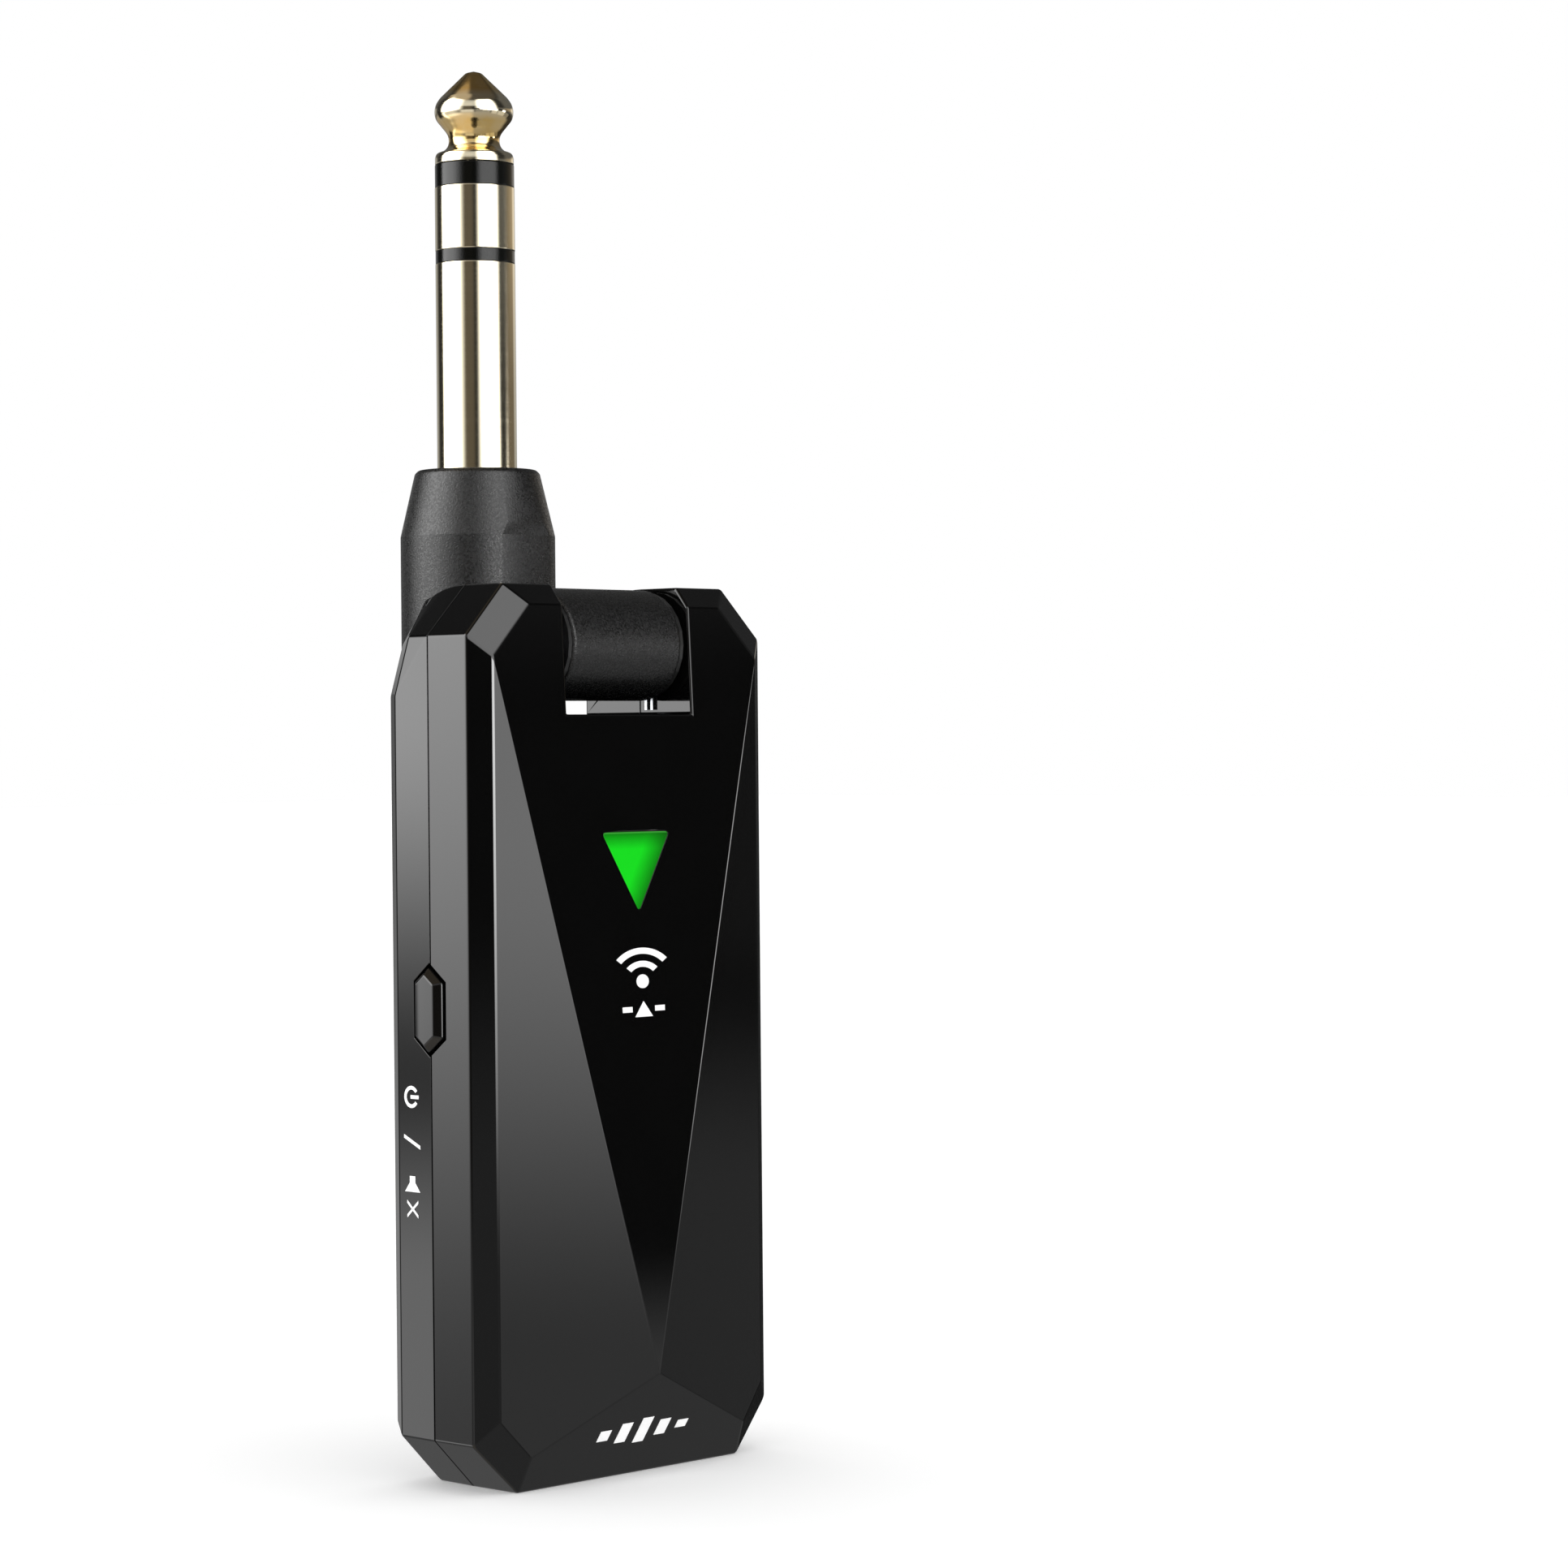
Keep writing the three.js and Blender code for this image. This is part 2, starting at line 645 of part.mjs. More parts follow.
// A tube down the plug's core that ends in a band at the plug's surface.
const bandedTube = ([inner, outer], foot, [bandFoot, bandTop]) =>
  turned([
    [inner, foot],
    [outer, foot],
    [outer, bandFoot + GAP],
    [PLUG_RADIUS, bandFoot + GAP],
    [PLUG_RADIUS, bandTop],
    [inner, bandTop],
    [inner, foot],
  ]);

const plugSleeve = () =>
  turned([
    [CORE.bore, FLANGE.from],
    [FLANGE.radius, FLANGE.from],
    [FLANGE.radius, FLANGE.to],
    [PLUG_RADIUS, FLANGE.to],
    [PLUG_RADIUS, RING_BAND[0]],
    [CORE.bore, RING_BAND[0]],
    [CORE.bore, FLANGE.from],
  ]);

// A flat ring with a solder tab that reaches towards the hinge.
function terminal(inner, outer, reach) {
  const { thickness, tab } = TERMINAL;
  const strip = block([-tab, -reach, 0], [tab, -(inner + outer) / 2, thickness]);
  return join(turned(ringProfile(inner, outer, 0, thickness)), strip);
}

// ---------------------------------------------------------------- the assembly

const light = group([
  piece("led_lens", ledLens(), greenLens),
  piece("light_shroud", lightShroud(), whitePlastic),
  onBoard("status_led", [1.6, 1.6, 0.7], whitePlastic, 0, (LIGHT.top + LIGHT.bottom) / 2),
]);

const switchPlace = [SWITCH.x, SWITCH.y, BUTTON.z];
const powerSwitch = group([
  piece("power_button", powerButton(), glossBlack),
  piece("switch_body", switchBody(), chipBlack, switchPlace),
  piece("switch_plunger", switchPlunger(), whitePlastic, switchPlace),
]);

const electronics = group([
  piece("main_board", mainBoard(), boardGreen),
  onBoard("radio_shield", [12, 12, 1.6], foilSilver, 0, 17),
  piece("antenna", antenna(), steel, [0, BOARD.front - GAP, ANTENNA.z]),
  onBoard("control_chip", [6, 6, 0.9], chipBlack, -4, 30),
  onBoard("audio_chip", [4, 4, 0.8], chipBlack, 6, 36),
  piece("charging_socket", chargingSocket(), steel),
  piece("socket_tongue", socketTongue(), nylonBlack),
]);

function batteryTape() {
  const { half, halfLength, thickness } = BATTERY_TAPE;
  return block([-half, 0, -halfLength], [half, thickness, halfLength]);
}

function batterySocket() {
  const { half, halfHeight, depth } = BATTERY_SOCKET;
  return block([-half, 0, -halfHeight], [half, depth, halfHeight]);
}

// A lead from the socket's top edge up to the cell's lower end, on one side of the other.
function batteryLead(side) {
  const socketX = BATTERY_SOCKET.x + side;
  const cellX = -1 + 1.6 * side;
  const socketTop = BATTERY_SOCKET.z + BATTERY_SOCKET.halfHeight;
  const cellFoot = BATTERY.z - BATTERY.length / 2;
  return wire(
    [
      [socketX, 0.9, socketTop + 0.1],
      [socketX, 1, socketTop + 1],
      [cellX, 1.8, socketTop + 1.9],
      [cellX, BATTERY.y, cellFoot - 1],
    ],
    LEAD_RADIUS,
  );
}

const battery = group([
  piece(
    "battery_cell",
    new RoundedBoxGeometry(BATTERY.width, BATTERY.thickness, BATTERY.length, 2, 0.8),
    foilSilver,
    [BATTERY.x, BATTERY.y, BATTERY.z],
  ),
  piece("battery_tape", batteryTape(), tapeWhite, [
    BATTERY.x,
    BATTERY.y + BATTERY.thickness / 2 + GAP,
    BATTERY.z,
  ]),
  piece("battery_socket", batterySocket(), whitePlastic, [
    BATTERY_SOCKET.x,
    BOARD.back + GAP,
    BATTERY_SOCKET.z,
  ]),
  piece("battery_lead_negative", batteryLead(-1), blackWire),
  piece("battery_lead_positive", batteryLead(1), redWire),
]);

const screws = group(
  SCREWS.map(([x, z], i) =>
    piece(`case_screw_${i + 1}`, caseScrew(), steel, [x, BACK - SCREW.recess + GAP, z]),
  ),
);

const plug = group(
  [
    piece("plug_tip", plugTip(), nickel),
    piece("tip_insulator", bandedTube(CORE.tip, -13.3, TIP_BAND), insulatorGrey),
    piece("plug_ring", bandedTube(CORE.ring, -13, [RING_BAND[1], TIP_BAND[0]]), nickel),
    piece("ring_insulator", bandedTube(CORE.sleeve, -12.1, RING_BAND), insulatorGrey),
    piece("plug_sleeve", plugSleeve(), nickel),
    piece("sleeve_terminal", terminal(2.5, 4.1, 4.3), gold, [0, 0, -11.52]),
    piece("terminal_washer_1", turned(ringProfile(2.5, 4, -12.1, -11.57)), nylonBlack),
    piece("ring_terminal", terminal(1.95, 3.4, 4.2), gold, [0, 0, -12.45]),
    piece("terminal_washer_2", turned(ringProfile(1.95, 3.4, -13, -12.5)), nylonBlack),
    piece("tip_terminal", terminal(0.85, 2.4, 4.1), gold, [0, 0, -13.66]),
  ],
  [0, BOOT.y, BOOT.top],
);

const washerX = BARREL.half + GAP;
const springX = washerX + WASHER.thickness + GAP;
const circlipX = BEARING_RIB.to + CIRCLIP.clearance;
const hinge = group([
  piece("plug_arm", plugArm(), grainBlack),
  piece("left_pivot", leftPivot(), steel),
  piece("right_pivot", rightPivot(), steel),
  piece("left_friction_washer", frictionWasher(), nylonBlack, [-washerX - WASHER.thickness, 0, 0]),
  piece("right_friction_washer", frictionWasher(), nylonBlack, [washerX, 0, 0]),
  piece("left_wave_spring", waveSpring(), steel, [-springX - SPRING.room, 0, 0]),
  piece("right_wave_spring", waveSpring(), steel, [springX, 0, 0]),
  piece("left_circlip", circlip(), steel, [-circlipX - CIRCLIP.thickness, 0, 0]),
  piece("right_circlip", circlip(), steel, [circlipX, 0, 0]),
]);

// The signal pair runs from the plug's terminals through the arm and the hollow pivot.
function armWire(side) {
  const offset = side * SIGNAL_WIRE.apart;
  const inPivot = -PIVOT.outer + 0.2;
  return wire(
    [
      [offset, 9.2, side < 0 ? -0.2 : -0.6],
      [offset, 6, 0],
      [offset - 0.1, 2.2, 0],
      [offset - 1.2, 0.2 - offset, 0],
      [-4.5, -offset, 0],
      [inPivot, -offset, 0],
    ],
    SIGNAL_WIRE.radius,
  );
}

const armWires = group([
  piece("arm_sleeve_wire", armWire(-1), blackWire),
  piece("arm_tip_wire", armWire(1), whiteWire),
]);

// The same pair goes on from the pivot's end down to the board's top edge.
function boardWire(side) {
  const offset = side * SIGNAL_WIRE.apart;
  return wire(
    [
      [-11.8, HINGE.y - offset, HINGE.z],
      [-12.9, HINGE.y - offset, HINGE.z - 1.6],
      [-12.6, HINGE.y - 1.1 - offset, HINGE.z - 4.6],
      [-10.6 + offset, HINGE.y - 0.8, NOTCH_FLOOR - 1.6 + offset],
      [-7 + 2 * offset, BOARD.front - 0.5, BOARD.top - 1],
    ],
    SIGNAL_WIRE.radius,
  );
}

const boardWires = group([
  piece("board_sleeve_wire", boardWire(-1), blackWire),
  piece("board_tip_wire", boardWire(1), whiteWire),
]);

export default group([
  piece("front_shell", frontShell(), glossBlack),
  piece("rear_shell", rearShell(), glossBlack),
  light,
  powerSwitch,
  electronics,
  battery,
  screws,
  boardWires,
  group([hinge, plug, armWires], [0, HINGE.y, HINGE.z]),
]);
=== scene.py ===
"""Looks of a wireless guitar transmitter: gloss black faceted case, grained arm, polished plug."""

import json
import math

import bmesh
import bpy
from mathutils import Matrix, Vector

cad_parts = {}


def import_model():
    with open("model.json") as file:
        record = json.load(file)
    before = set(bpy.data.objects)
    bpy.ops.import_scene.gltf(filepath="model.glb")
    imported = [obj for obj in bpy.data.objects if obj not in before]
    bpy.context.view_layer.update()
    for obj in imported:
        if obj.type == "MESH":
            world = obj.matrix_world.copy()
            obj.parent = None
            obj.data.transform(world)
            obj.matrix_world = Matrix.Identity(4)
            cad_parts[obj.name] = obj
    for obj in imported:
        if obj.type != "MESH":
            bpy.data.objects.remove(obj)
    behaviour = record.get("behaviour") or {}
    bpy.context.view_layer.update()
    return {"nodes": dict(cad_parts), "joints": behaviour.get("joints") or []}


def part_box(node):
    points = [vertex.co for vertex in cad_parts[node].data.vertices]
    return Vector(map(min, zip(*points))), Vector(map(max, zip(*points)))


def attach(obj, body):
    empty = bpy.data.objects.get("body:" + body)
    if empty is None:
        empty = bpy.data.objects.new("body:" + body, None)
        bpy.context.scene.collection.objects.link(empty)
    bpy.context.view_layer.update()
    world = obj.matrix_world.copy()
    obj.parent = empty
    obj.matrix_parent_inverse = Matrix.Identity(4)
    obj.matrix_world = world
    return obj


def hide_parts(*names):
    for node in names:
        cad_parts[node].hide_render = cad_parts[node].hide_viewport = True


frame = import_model()

# ------------------------------------------------------------------ sizes, in millimetres

MM = 0.001


def box_mm(node):
    low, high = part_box(node)
    return low / MM, high / MM


FRONT_LOW, FRONT_HIGH = box_mm("front_shell")
REAR_HIGH = box_mm("rear_shell")[1]
HALF = FRONT_HIGH.x
HEIGHT = FRONT_HIGH.z
SEAM = FRONT_HIGH.y
BACK = REAR_HIGH.y
FRONT = -BACK
WALL = 1.5
CORNER = 3.95  # leg of the 45 degree cut at each corner

# facets of the front: two side panels and a V between them, all meeting at the peak
BEVEL_X = 1.63
BEVEL_Y = 1.25
PEAK = Vector((0, FRONT_LOW.y, 8.05))
TOP_CHAMFER = 1.57
FOOT_CORNER_Z = 5.68
FOOT_X = 11.5
FOOT_Z = 2.75

# facets of the back
BACK_BEVEL_X = 1.6
BACK_BEVEL_Y = 2.26
SLANT_Z = 60.2
SLANT_END_Y = 3.35
SLANT_END_Z = 67
DRAFT = 0.044  # the back's sides lean in by this much for each millimetre of depth

# notch, hinge and arm
NOTCH_HALF = 6.74
NOTCH_FLOOR = 58.67
SWING = next(joint for joint in frame["joints"] if joint["name"] == "plug_swing")
HINGE = Vector(SWING["pos_m"]) / MM
ARM_HIGH = box_mm("plug_arm")[1]
PIVOT_RADIUS = 1.9
BORE_RADIUS = PIVOT_RADIUS + 0.2
BARREL_RADIUS = 4.35
BARREL_HALF = 5.8
SPRING_START = 0.44  # from the barrel's end to the wave spring
SPRING_ROOM = 0.42
BOOT_RADIUS = ARM_HIGH.x
BOOT_Y = ARM_HIGH.y - HINGE.y - BOOT_RADIUS
BOOT_FLAT = 5.6
BOOT_SHOULDER = 8.86
BOOT_TOP_RADIUS = 4.98
BOOT_TOP = ARM_HIGH.z - HINGE.z
BOOT_FOOT = -3.9
BOOT_FOOT_ROUND = 1.6
CAVITY_RADIUS = 4.4
CAVITY = (-3, 4.6)
WIRE_CHANNEL = 1.3
WEB_HALF = 5.4
WEB_HEIGHT = 7.8
RIB_OUTER = 10.4

# plug, measured from its seat on the boot
PLUG_RADIUS = 3.175
SEAT = Vector((0, HINGE.y + BOOT_Y, ARM_HIGH.z))
PLUG_LENGTH = box_mm("plug_tip")[1].z - SEAT.z
RING_BAND = (16.42, 17.45)
TIP_BAND = (22.49, 24.29)
SLEEVE_BAND = (-9.66, RING_BAND[0])
TIP_ROD = 0.8  # the radius of the rod, and then the inner and outer radii of the tubes around it
TIP_INSULATOR_CORE = (0.85, 1.35)
RING_CORE = (1.4, 1.9)
RING_INSULATOR_CORE = (1.95, 2.4)
SLEEVE_CORE = (2.45, box_mm("plug_sleeve")[1].x)

# small fittings
BUTTON_Y = -0.2
BUTTON_Z = 36.45
BUTTON_LENGTH = 7.1
BUTTON_WIDTH = 3.65
BUTTON_POINT = 1.4
LIGHT_TOP = 49.6
LIGHT_BOTTOM = 43.45
LIGHT_HALF = 3.65
PORT_Y = 0.95
PORT_Z = 14
PORT_LENGTH = 8.9
PORT_HEIGHT = 3.2

SCREWS = [(side * 10.4, z) for z in (53, 6.8) for side in (-1, 1)]
SCREW_RECESS = 1.7
SCREW_HEAD = 1.6
SCREW_CROWN = 1  # height of the head
SCREW_SHANK = 0.6
SCREW_LENGTH = 7
BOSS_FACE = -1.55  # the front bosses stop here, at the board
BOSS_RADIUS = 2.4
SPIGOT_RADIUS = 1.6  # of the pegs that pass through the board
PILOT_RADIUS = 0.7
REAR_BOSS_RADIUS = 2.3
CLEARANCE_RADIUS = 1
ROOT = 0.8  # bosses and ribs start this far inside the case's faces

EDGE = 0.3  # width of the rounding along the case's facets
FINE_EDGE = 0.6  # share of it elsewhere on the case, and at the peak
SEAM_EDGE = 0.12  # and share of it where the halves meet
SEAM_GAP = 0.12  # between the halves
GAP = 0.05


# ------------------------------------------------------------------ solids, made in millimetres


def hull(points):
    """The convex body around some points, with its flat faces whole."""
    body = bmesh.new()
    for point in points:
        body.verts.new(point)
    made = bmesh.ops.convex_hull(body, input=body.verts)
    spare = {v for v in made["geom_interior"] + made["geom_unused"] if isinstance(v, bmesh.types.BMVert)}
    bmesh.ops.delete(body, geom=list(spare), context="VERTS")
    bmesh.ops.dissolve_limit(
        body, angle_limit=math.radians(0.4), verts=body.verts[:], edges=body.edges[:]
    )
    bmesh.ops.recalc_face_normals(body, faces=body.faces[:])
    return body


def prism(outline, start, end, axis):
    """An outline made solid along an axis: (x, z) points along y, (y, z) points along x."""
    place = {
        "x": lambda a, b, depth: (depth, a, b),
        "y": lambda a, b, depth: (a, depth, b),
        "z": lambda a, b, depth: (a, b, depth),
    }[axis]
    body = bmesh.new()
    near = [body.verts.new(place(a, b, start)) for a, b in outline]
    far = [body.verts.new(place(a, b, end)) for a, b in outline]
    body.faces.new(near)
    body.faces.new(far)
    for i in range(len(outline)):
        body.faces.new((near[i - 1], near[i], far[i], far[i - 1]))
    bmesh.ops.recalc_face_normals(body, faces=body.faces[:])
    return body


def block(low, high):
    return prism(
        [(low[0], low[1]), (high[0], low[1]), (high[0], high[1]), (low[0], high[1])],
        low[2],
        high[2],
        "z",
    )


def lathe(profile, segments=96):
    """A (radius, height) profile turned about Z. It ends on the axis, or closes on itself."""
    body = bmesh.new()
    rings = []
    for radius, height in profile:
        if radius < 1e-6:
            rings.append([body.verts.new((0, 0, height))])
        else:
            turn = [2 * math.pi * i / segments for i in range(segments)]
            ring = [(radius * math.cos(a), radius * math.sin(a), height) for a in turn]
            rings.append([body.verts.new(place) for place in ring])
    closed = rings[0] if len(rings[0]) > 1 else None
    pairs = list(zip(rings, rings[1:] + ([closed] if closed else [])))
    for lower, upper in pairs:
        for i in range(segments):
            corners = [lower[i - 1], lower[i]] if len(lower) > 1 else [lower[0]]
            corners += [upper[i], upper[i - 1]] if len(upper) > 1 else [upper[0]]
            if len(corners) > 2:
                body.faces.new(corners)
    bmesh.ops.recalc_face_normals(body, faces=body.faces[:])
    return body


def softened(profile, radius, steps=4):
    """A profile with an arc at each inner corner, and points beside it that keep its flats flat."""
    points = [Vector(point) for point in profile]
    made = [points[0]]
    for before, corner, after in zip(points, points[1:], points[2:]):
        a = before - corner
        b = after - corner
        turn = math.pi - a.angle(b)
        reach = min(radius * math.tan(turn / 2), 0.45 * a.length, 0.45 * b.length)
        if turn < math.radians(12):
            made.append(corner)
            continue
        start = corner + a.normalized() * reach
        end = corner + b.normalized() * reach
        made.append(start + a.normalized() * 0.04 * reach)
        for i in range(steps + 1):
            t = i / steps
            made.append((1 - t) ** 2 * start + 2 * t * (1 - t) * corner + t**2 * end)
        made.append(end + b.normalized() * 0.04 * reach)
    return [tuple(point) for point in made + [points[-1]]]


def tube(inner, outer, low, high, soft=0.05):
    """A flat ring or tube with softened rims."""
    middle = (inner + outer) / 2
    corners = [(middle, low), (outer, low), (outer, high), (inner, high), (inner, low), (middle, low)]
    return lathe(softened(corners, soft)[:-1])


def rod(radius, low, high, soft=0.05):
    return lathe(softened([(0, low), (radius, low), (radius, high), (0, high)], soft), 48)


def arc(centre, radius, start, end, steps):
    """Points along an arc, between two angles in degrees."""
    angles = [math.radians(start + (end - start) * i / steps) for i in range(steps + 1)]
    return [(centre[0] + radius * math.cos(a), centre[1] + radius * math.sin(a)) for a in angles]


def moved(body, x=0, y=0, z=0):
    bmesh.ops.translate(body, verts=body.verts[:], vec=(x, y, z))
    return body


def along(body, axis):
    """Turns a body made about Z so that it lies about X or Y."""
    turn = {"x": Matrix.Rotation(math.pi / 2, 3, "Y"), "y": Matrix.Rotation(-math.pi / 2, 3, "X")}[axis]
    bmesh.ops.transform(body, matrix=turn.to_4x4(), verts=body.verts[:])
    return body


def scratch(body):
    """A throwaway object, for a boolean to read."""
    mesh = bpy.data.meshes.new("scratch")
    body.to_mesh(mesh)
    body.free()
    made = bpy.data.objects.new("scratch", mesh)
    bpy.context.scene.collection.objects.link(made)
    return made


def combine(how, first, *others):
    """Joins, cuts or intersects closed bodies, and gives a closed body."""
    base = scratch(first)
    tools = [scratch(other) for other in others]
    for tool in tools:
        step = base.modifiers.new("step", "BOOLEAN")
        step.operation = how
        step.solver = "MANIFOLD"
        step.object = tool
    seen = base.evaluated_get(bpy.context.evaluated_depsgraph_get())
    body = bmesh.new()
    body.from_mesh(seen.to_mesh())
    seen.to_mesh_clear()
    for spare in [base, *tools]:
        bpy.data.meshes.remove(spare.data)
    bmesh.ops.remove_doubles(body, verts=body.verts[:], dist=1e-4)
    loose = [vert for vert in body.verts if not vert.link_faces]
    bmesh.ops.delete(body, geom=loose, context="VERTS")
    return body


def join(*bodies):
    return combine("UNION", *bodies)


def cut(*bodies):
    return combine("DIFFERENCE", *bodies)


def common(*bodies):
    return combine("INTERSECT", *bodies)


def piece(name, body, material, rides_on, stands_for=(), edge=0.0, sharp=30):
    """A shown piece from a body in millimetres, with its edges rounded to a given width."""
    bmesh.ops.scale(body, vec=(MM, MM, MM), verts=body.verts[:])
    mesh = bpy.data.meshes.new(name)
    body.to_mesh(mesh)
    body.free()
    mesh.shade_smooth()
    mesh.materials.append(material)
    made = bpy.data.objects.new(name, mesh)
    bpy.context.scene.collection.objects.link(made)
    if edge:
        weighted = "bevel_weight_edge" in mesh.attributes
        rounding = made.modifiers.new("rounded edges", "BEVEL")
        rounding.offset_type = "WIDTH"
        rounding.width = edge * MM
        rounding.segments = 3
        rounding.limit_method = "WEIGHT" if weighted else "ANGLE"
        rounding.angle_limit = math.radians(sharp)
        rounding.harden_normals = True
        rounding.use_clamp_overlap = False
        rounding.miter_outer = "MITER_SHARP"
    else:
        mesh.set_sharp_from_angle(angle=math.radians(sharp))
    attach(made, rides_on)
    if stands_for:
        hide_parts(*stands_for)
    return made


# ------------------------------------------------------------------ material building


class Surface:
    """A node material under construction: sockets in, sockets out."""

    def __init__(self, name):
        self.material = bpy.data.materials.new(name)
        self.material.use_nodes = True
        self.tree = self.material.node_tree
        self.shader = self.tree.nodes["Principled BSDF"]
        self.place = self.tree.nodes.new("ShaderNodeTexCoord").outputs["Object"]

    def node(self, kind, inputs, output=0, **settings):
        return add_node(self.tree, kind, inputs, output, **settings)

    def noise(self, size, detail=2.0, stretch=(1, 1, 1), roughness=0.5):
        """Noise between 0 and 1 whose grains are about size millimetres across."""
        place = self.node("ShaderNodeVectorMath", {0: self.place, 1: stretch}, operation="MULTIPLY")
        inputs = {"Vector": place, "Scale": 1 / (size * MM), "Detail": detail, "Roughness": roughness}
        return self.node("ShaderNodeTexNoise", inputs)

    def spread(self, value, low, high, start=0.3, end=0.7):
        """Maps a noise value from start..end to low..high."""
        inputs = {"Value": value, 1: start, 2: end, 3: low, 4: high}
        return self.node("ShaderNodeMapRange", inputs)

    def blend(self, share, first, second):
        inputs = {"Factor": share, 6: first, 7: second}
        return self.node("ShaderNodeMix", inputs, 2, data_type="RGBA")

    def bump(self, height, depth, strength=1.0):
        """Dents the surface by depth millimetres where height goes from 0 to 1."""
        inputs = {"Height": height, "Distance": depth * MM, "Strength": strength}
        self.set(Normal=self.node("ShaderNodeBump", inputs))

    def set(self, **values):
        for name, value in values.items():
            plug(self.tree, self.shader.inputs[name.replace("_", " ")], value)
        return self.material


def plug(tree, socket, value):
    """Links a socket, or sets its value."""
    if isinstance(value, bpy.types.NodeSocket):
        tree.links.new(value, socket)
    else:
        socket.default_value = value


def add_node(tree, kind, inputs, output=0, **settings):
    node = tree.nodes.new(kind)
    for name, value in settings.items():
        setattr(node, name, value)
    for name, value in inputs.items():
        plug(tree, node.inputs[name], value)
    return node.outputs[output]


def colour(code, alpha=1.0):
    """An sRGB colour such as 0x19e01f, in the linear values that the nodes use."""
    parts = [((code >> shift) & 255) / 255 for shift in (16, 8, 0)]
    return tuple(((c + 0.055) / 1.055) ** 2.4 if c > 0.04045 else c / 12.92 for c in parts) + (alpha,)


# ------------------------------------------------------------------ materials


def gloss_black():
    """Mirror-polished black plastic: a faint haze and a few rubbed patches in the gloss."""
    s = Surface("gloss_black")
    haze = s.spread(s.noise(9, 3), 0.02, 0.04)
    rubbed = s.spread(s.noise(0.8, 4, stretch=(1, 1, 0.2)), 0, 0.01)
    roughness = s.node("ShaderNodeMath", {0: haze, 1: rubbed}, operation="ADD")
    tone = s.blend(s.noise(4), colour(0x060606), colour(0x080808))
    return s.set(Base_Color=tone, Roughness=roughness, IOR=1.5)


def grained_black():
    """Spark-eroded matt plastic: a fine sandy grain that glints."""
    s = Surface("grained_black")
    grain = s.noise(0.13, 2, roughness=0.7)
    s.bump(grain, 0.035, 1.0)
    speckle = s.spread(s.noise(0.17, 2), 0, 1, 0.4, 0.6)
    tone = s.blend(speckle, colour(0x070707), colour(0x1B1B1B))
    roughness = s.spread(s.noise(0.19, 2), 0.22, 0.42, 0.4, 0.6)
    return s.set(Base_Color=tone, Roughness=roughness, IOR=1.5)


def moulded(name, dark, light, rough=(0.35, 0.5), **more):
    """Plain moulded plastic with a slight mottle."""
    s = Surface(name)
    mottle = s.noise(1.5, 3)
    s.bump(s.noise(0.15, 2), 0.01, 0.5)
    tone = s.blend(mottle, colour(dark), colour(light))
    return s.set(Base_Color=tone, Roughness=s.spread(mottle, *rough), **more)


def plain_metal(name, dark, light, rough=(0.2, 0.32)):
    """Plated sheet or turned metal, a little uneven in tone and gloss."""
    s = Surface(name)
    mottle = s.noise(0.6, 3)
    tone = s.blend(mottle, colour(dark), colour(light))
    return s.set(Base_Color=tone, Metallic=1.0, Roughness=s.spread(mottle, *rough))


def plug_nickel():
    """Polished nickel, worn towards its brassy undercoat around the tip's waist and cone."""
    s = Surface("nickel")
    rings = s.noise(0.5, 2, stretch=(0.02, 0.02, 5))
    height = s.node("ShaderNodeSeparateXYZ", {0: s.place}, 2)
    waist = (SEAT.z + TIP_BAND[1] + 1) * MM
    ball = (SEAT.z + PLUG_LENGTH - 3.4) * MM
    cone = (SEAT.z + PLUG_LENGTH - 2.2) * MM
    above_waist = s.node("ShaderNodeMapRange", {"Value": height, 1: waist, 2: waist + 0.8 * MM})
    below_ball = s.node("ShaderNodeMapRange", {"Value": height, 1: ball, 2: ball - 0.8 * MM})
    on_cone = s.node("ShaderNodeMapRange", {"Value": height, 1: cone, 2: cone + 0.6 * MM})
    worn = s.node("ShaderNodeMath", {0: above_waist, 1: below_ball}, operation="MULTIPLY")
    worn = s.node("ShaderNodeMath", {0: worn, 1: on_cone}, operation="MAXIMUM")
    patchy = s.spread(s.noise(0.9, 3), 0.75, 1.0)
    worn = s.node("ShaderNodeMath", {0: worn, 1: patchy}, operation="MULTIPLY")
    tone = s.blend(worn, colour(0xF9EED1), colour(0xEFCB80))
    s.bump(rings, 0.0002, 0.3)
    return s.set(Base_Color=tone, Metallic=1.0, Roughness=s.spread(rings, 0.1, 0.14))


def circuit_board():
    """Green solder mask over a pattern of tracks."""
    s = Surface("board_green")
    inputs = {"Vector": s.place, "Scale": 1 / (1.3 * MM), "Randomness": 0.8}
    cells = s.node("ShaderNodeTexVoronoi", inputs, distance="MANHATTAN")
    tracks = s.node("ShaderNodeMath", {0: cells, 1: 0.45}, operation="GREATER_THAN")
    tone = s.blend(tracks, colour(0x0B3A22), colour(0x145433))
    s.bump(tracks, 0.03)
    return s.set(Base_Color=tone, Roughness=0.35)


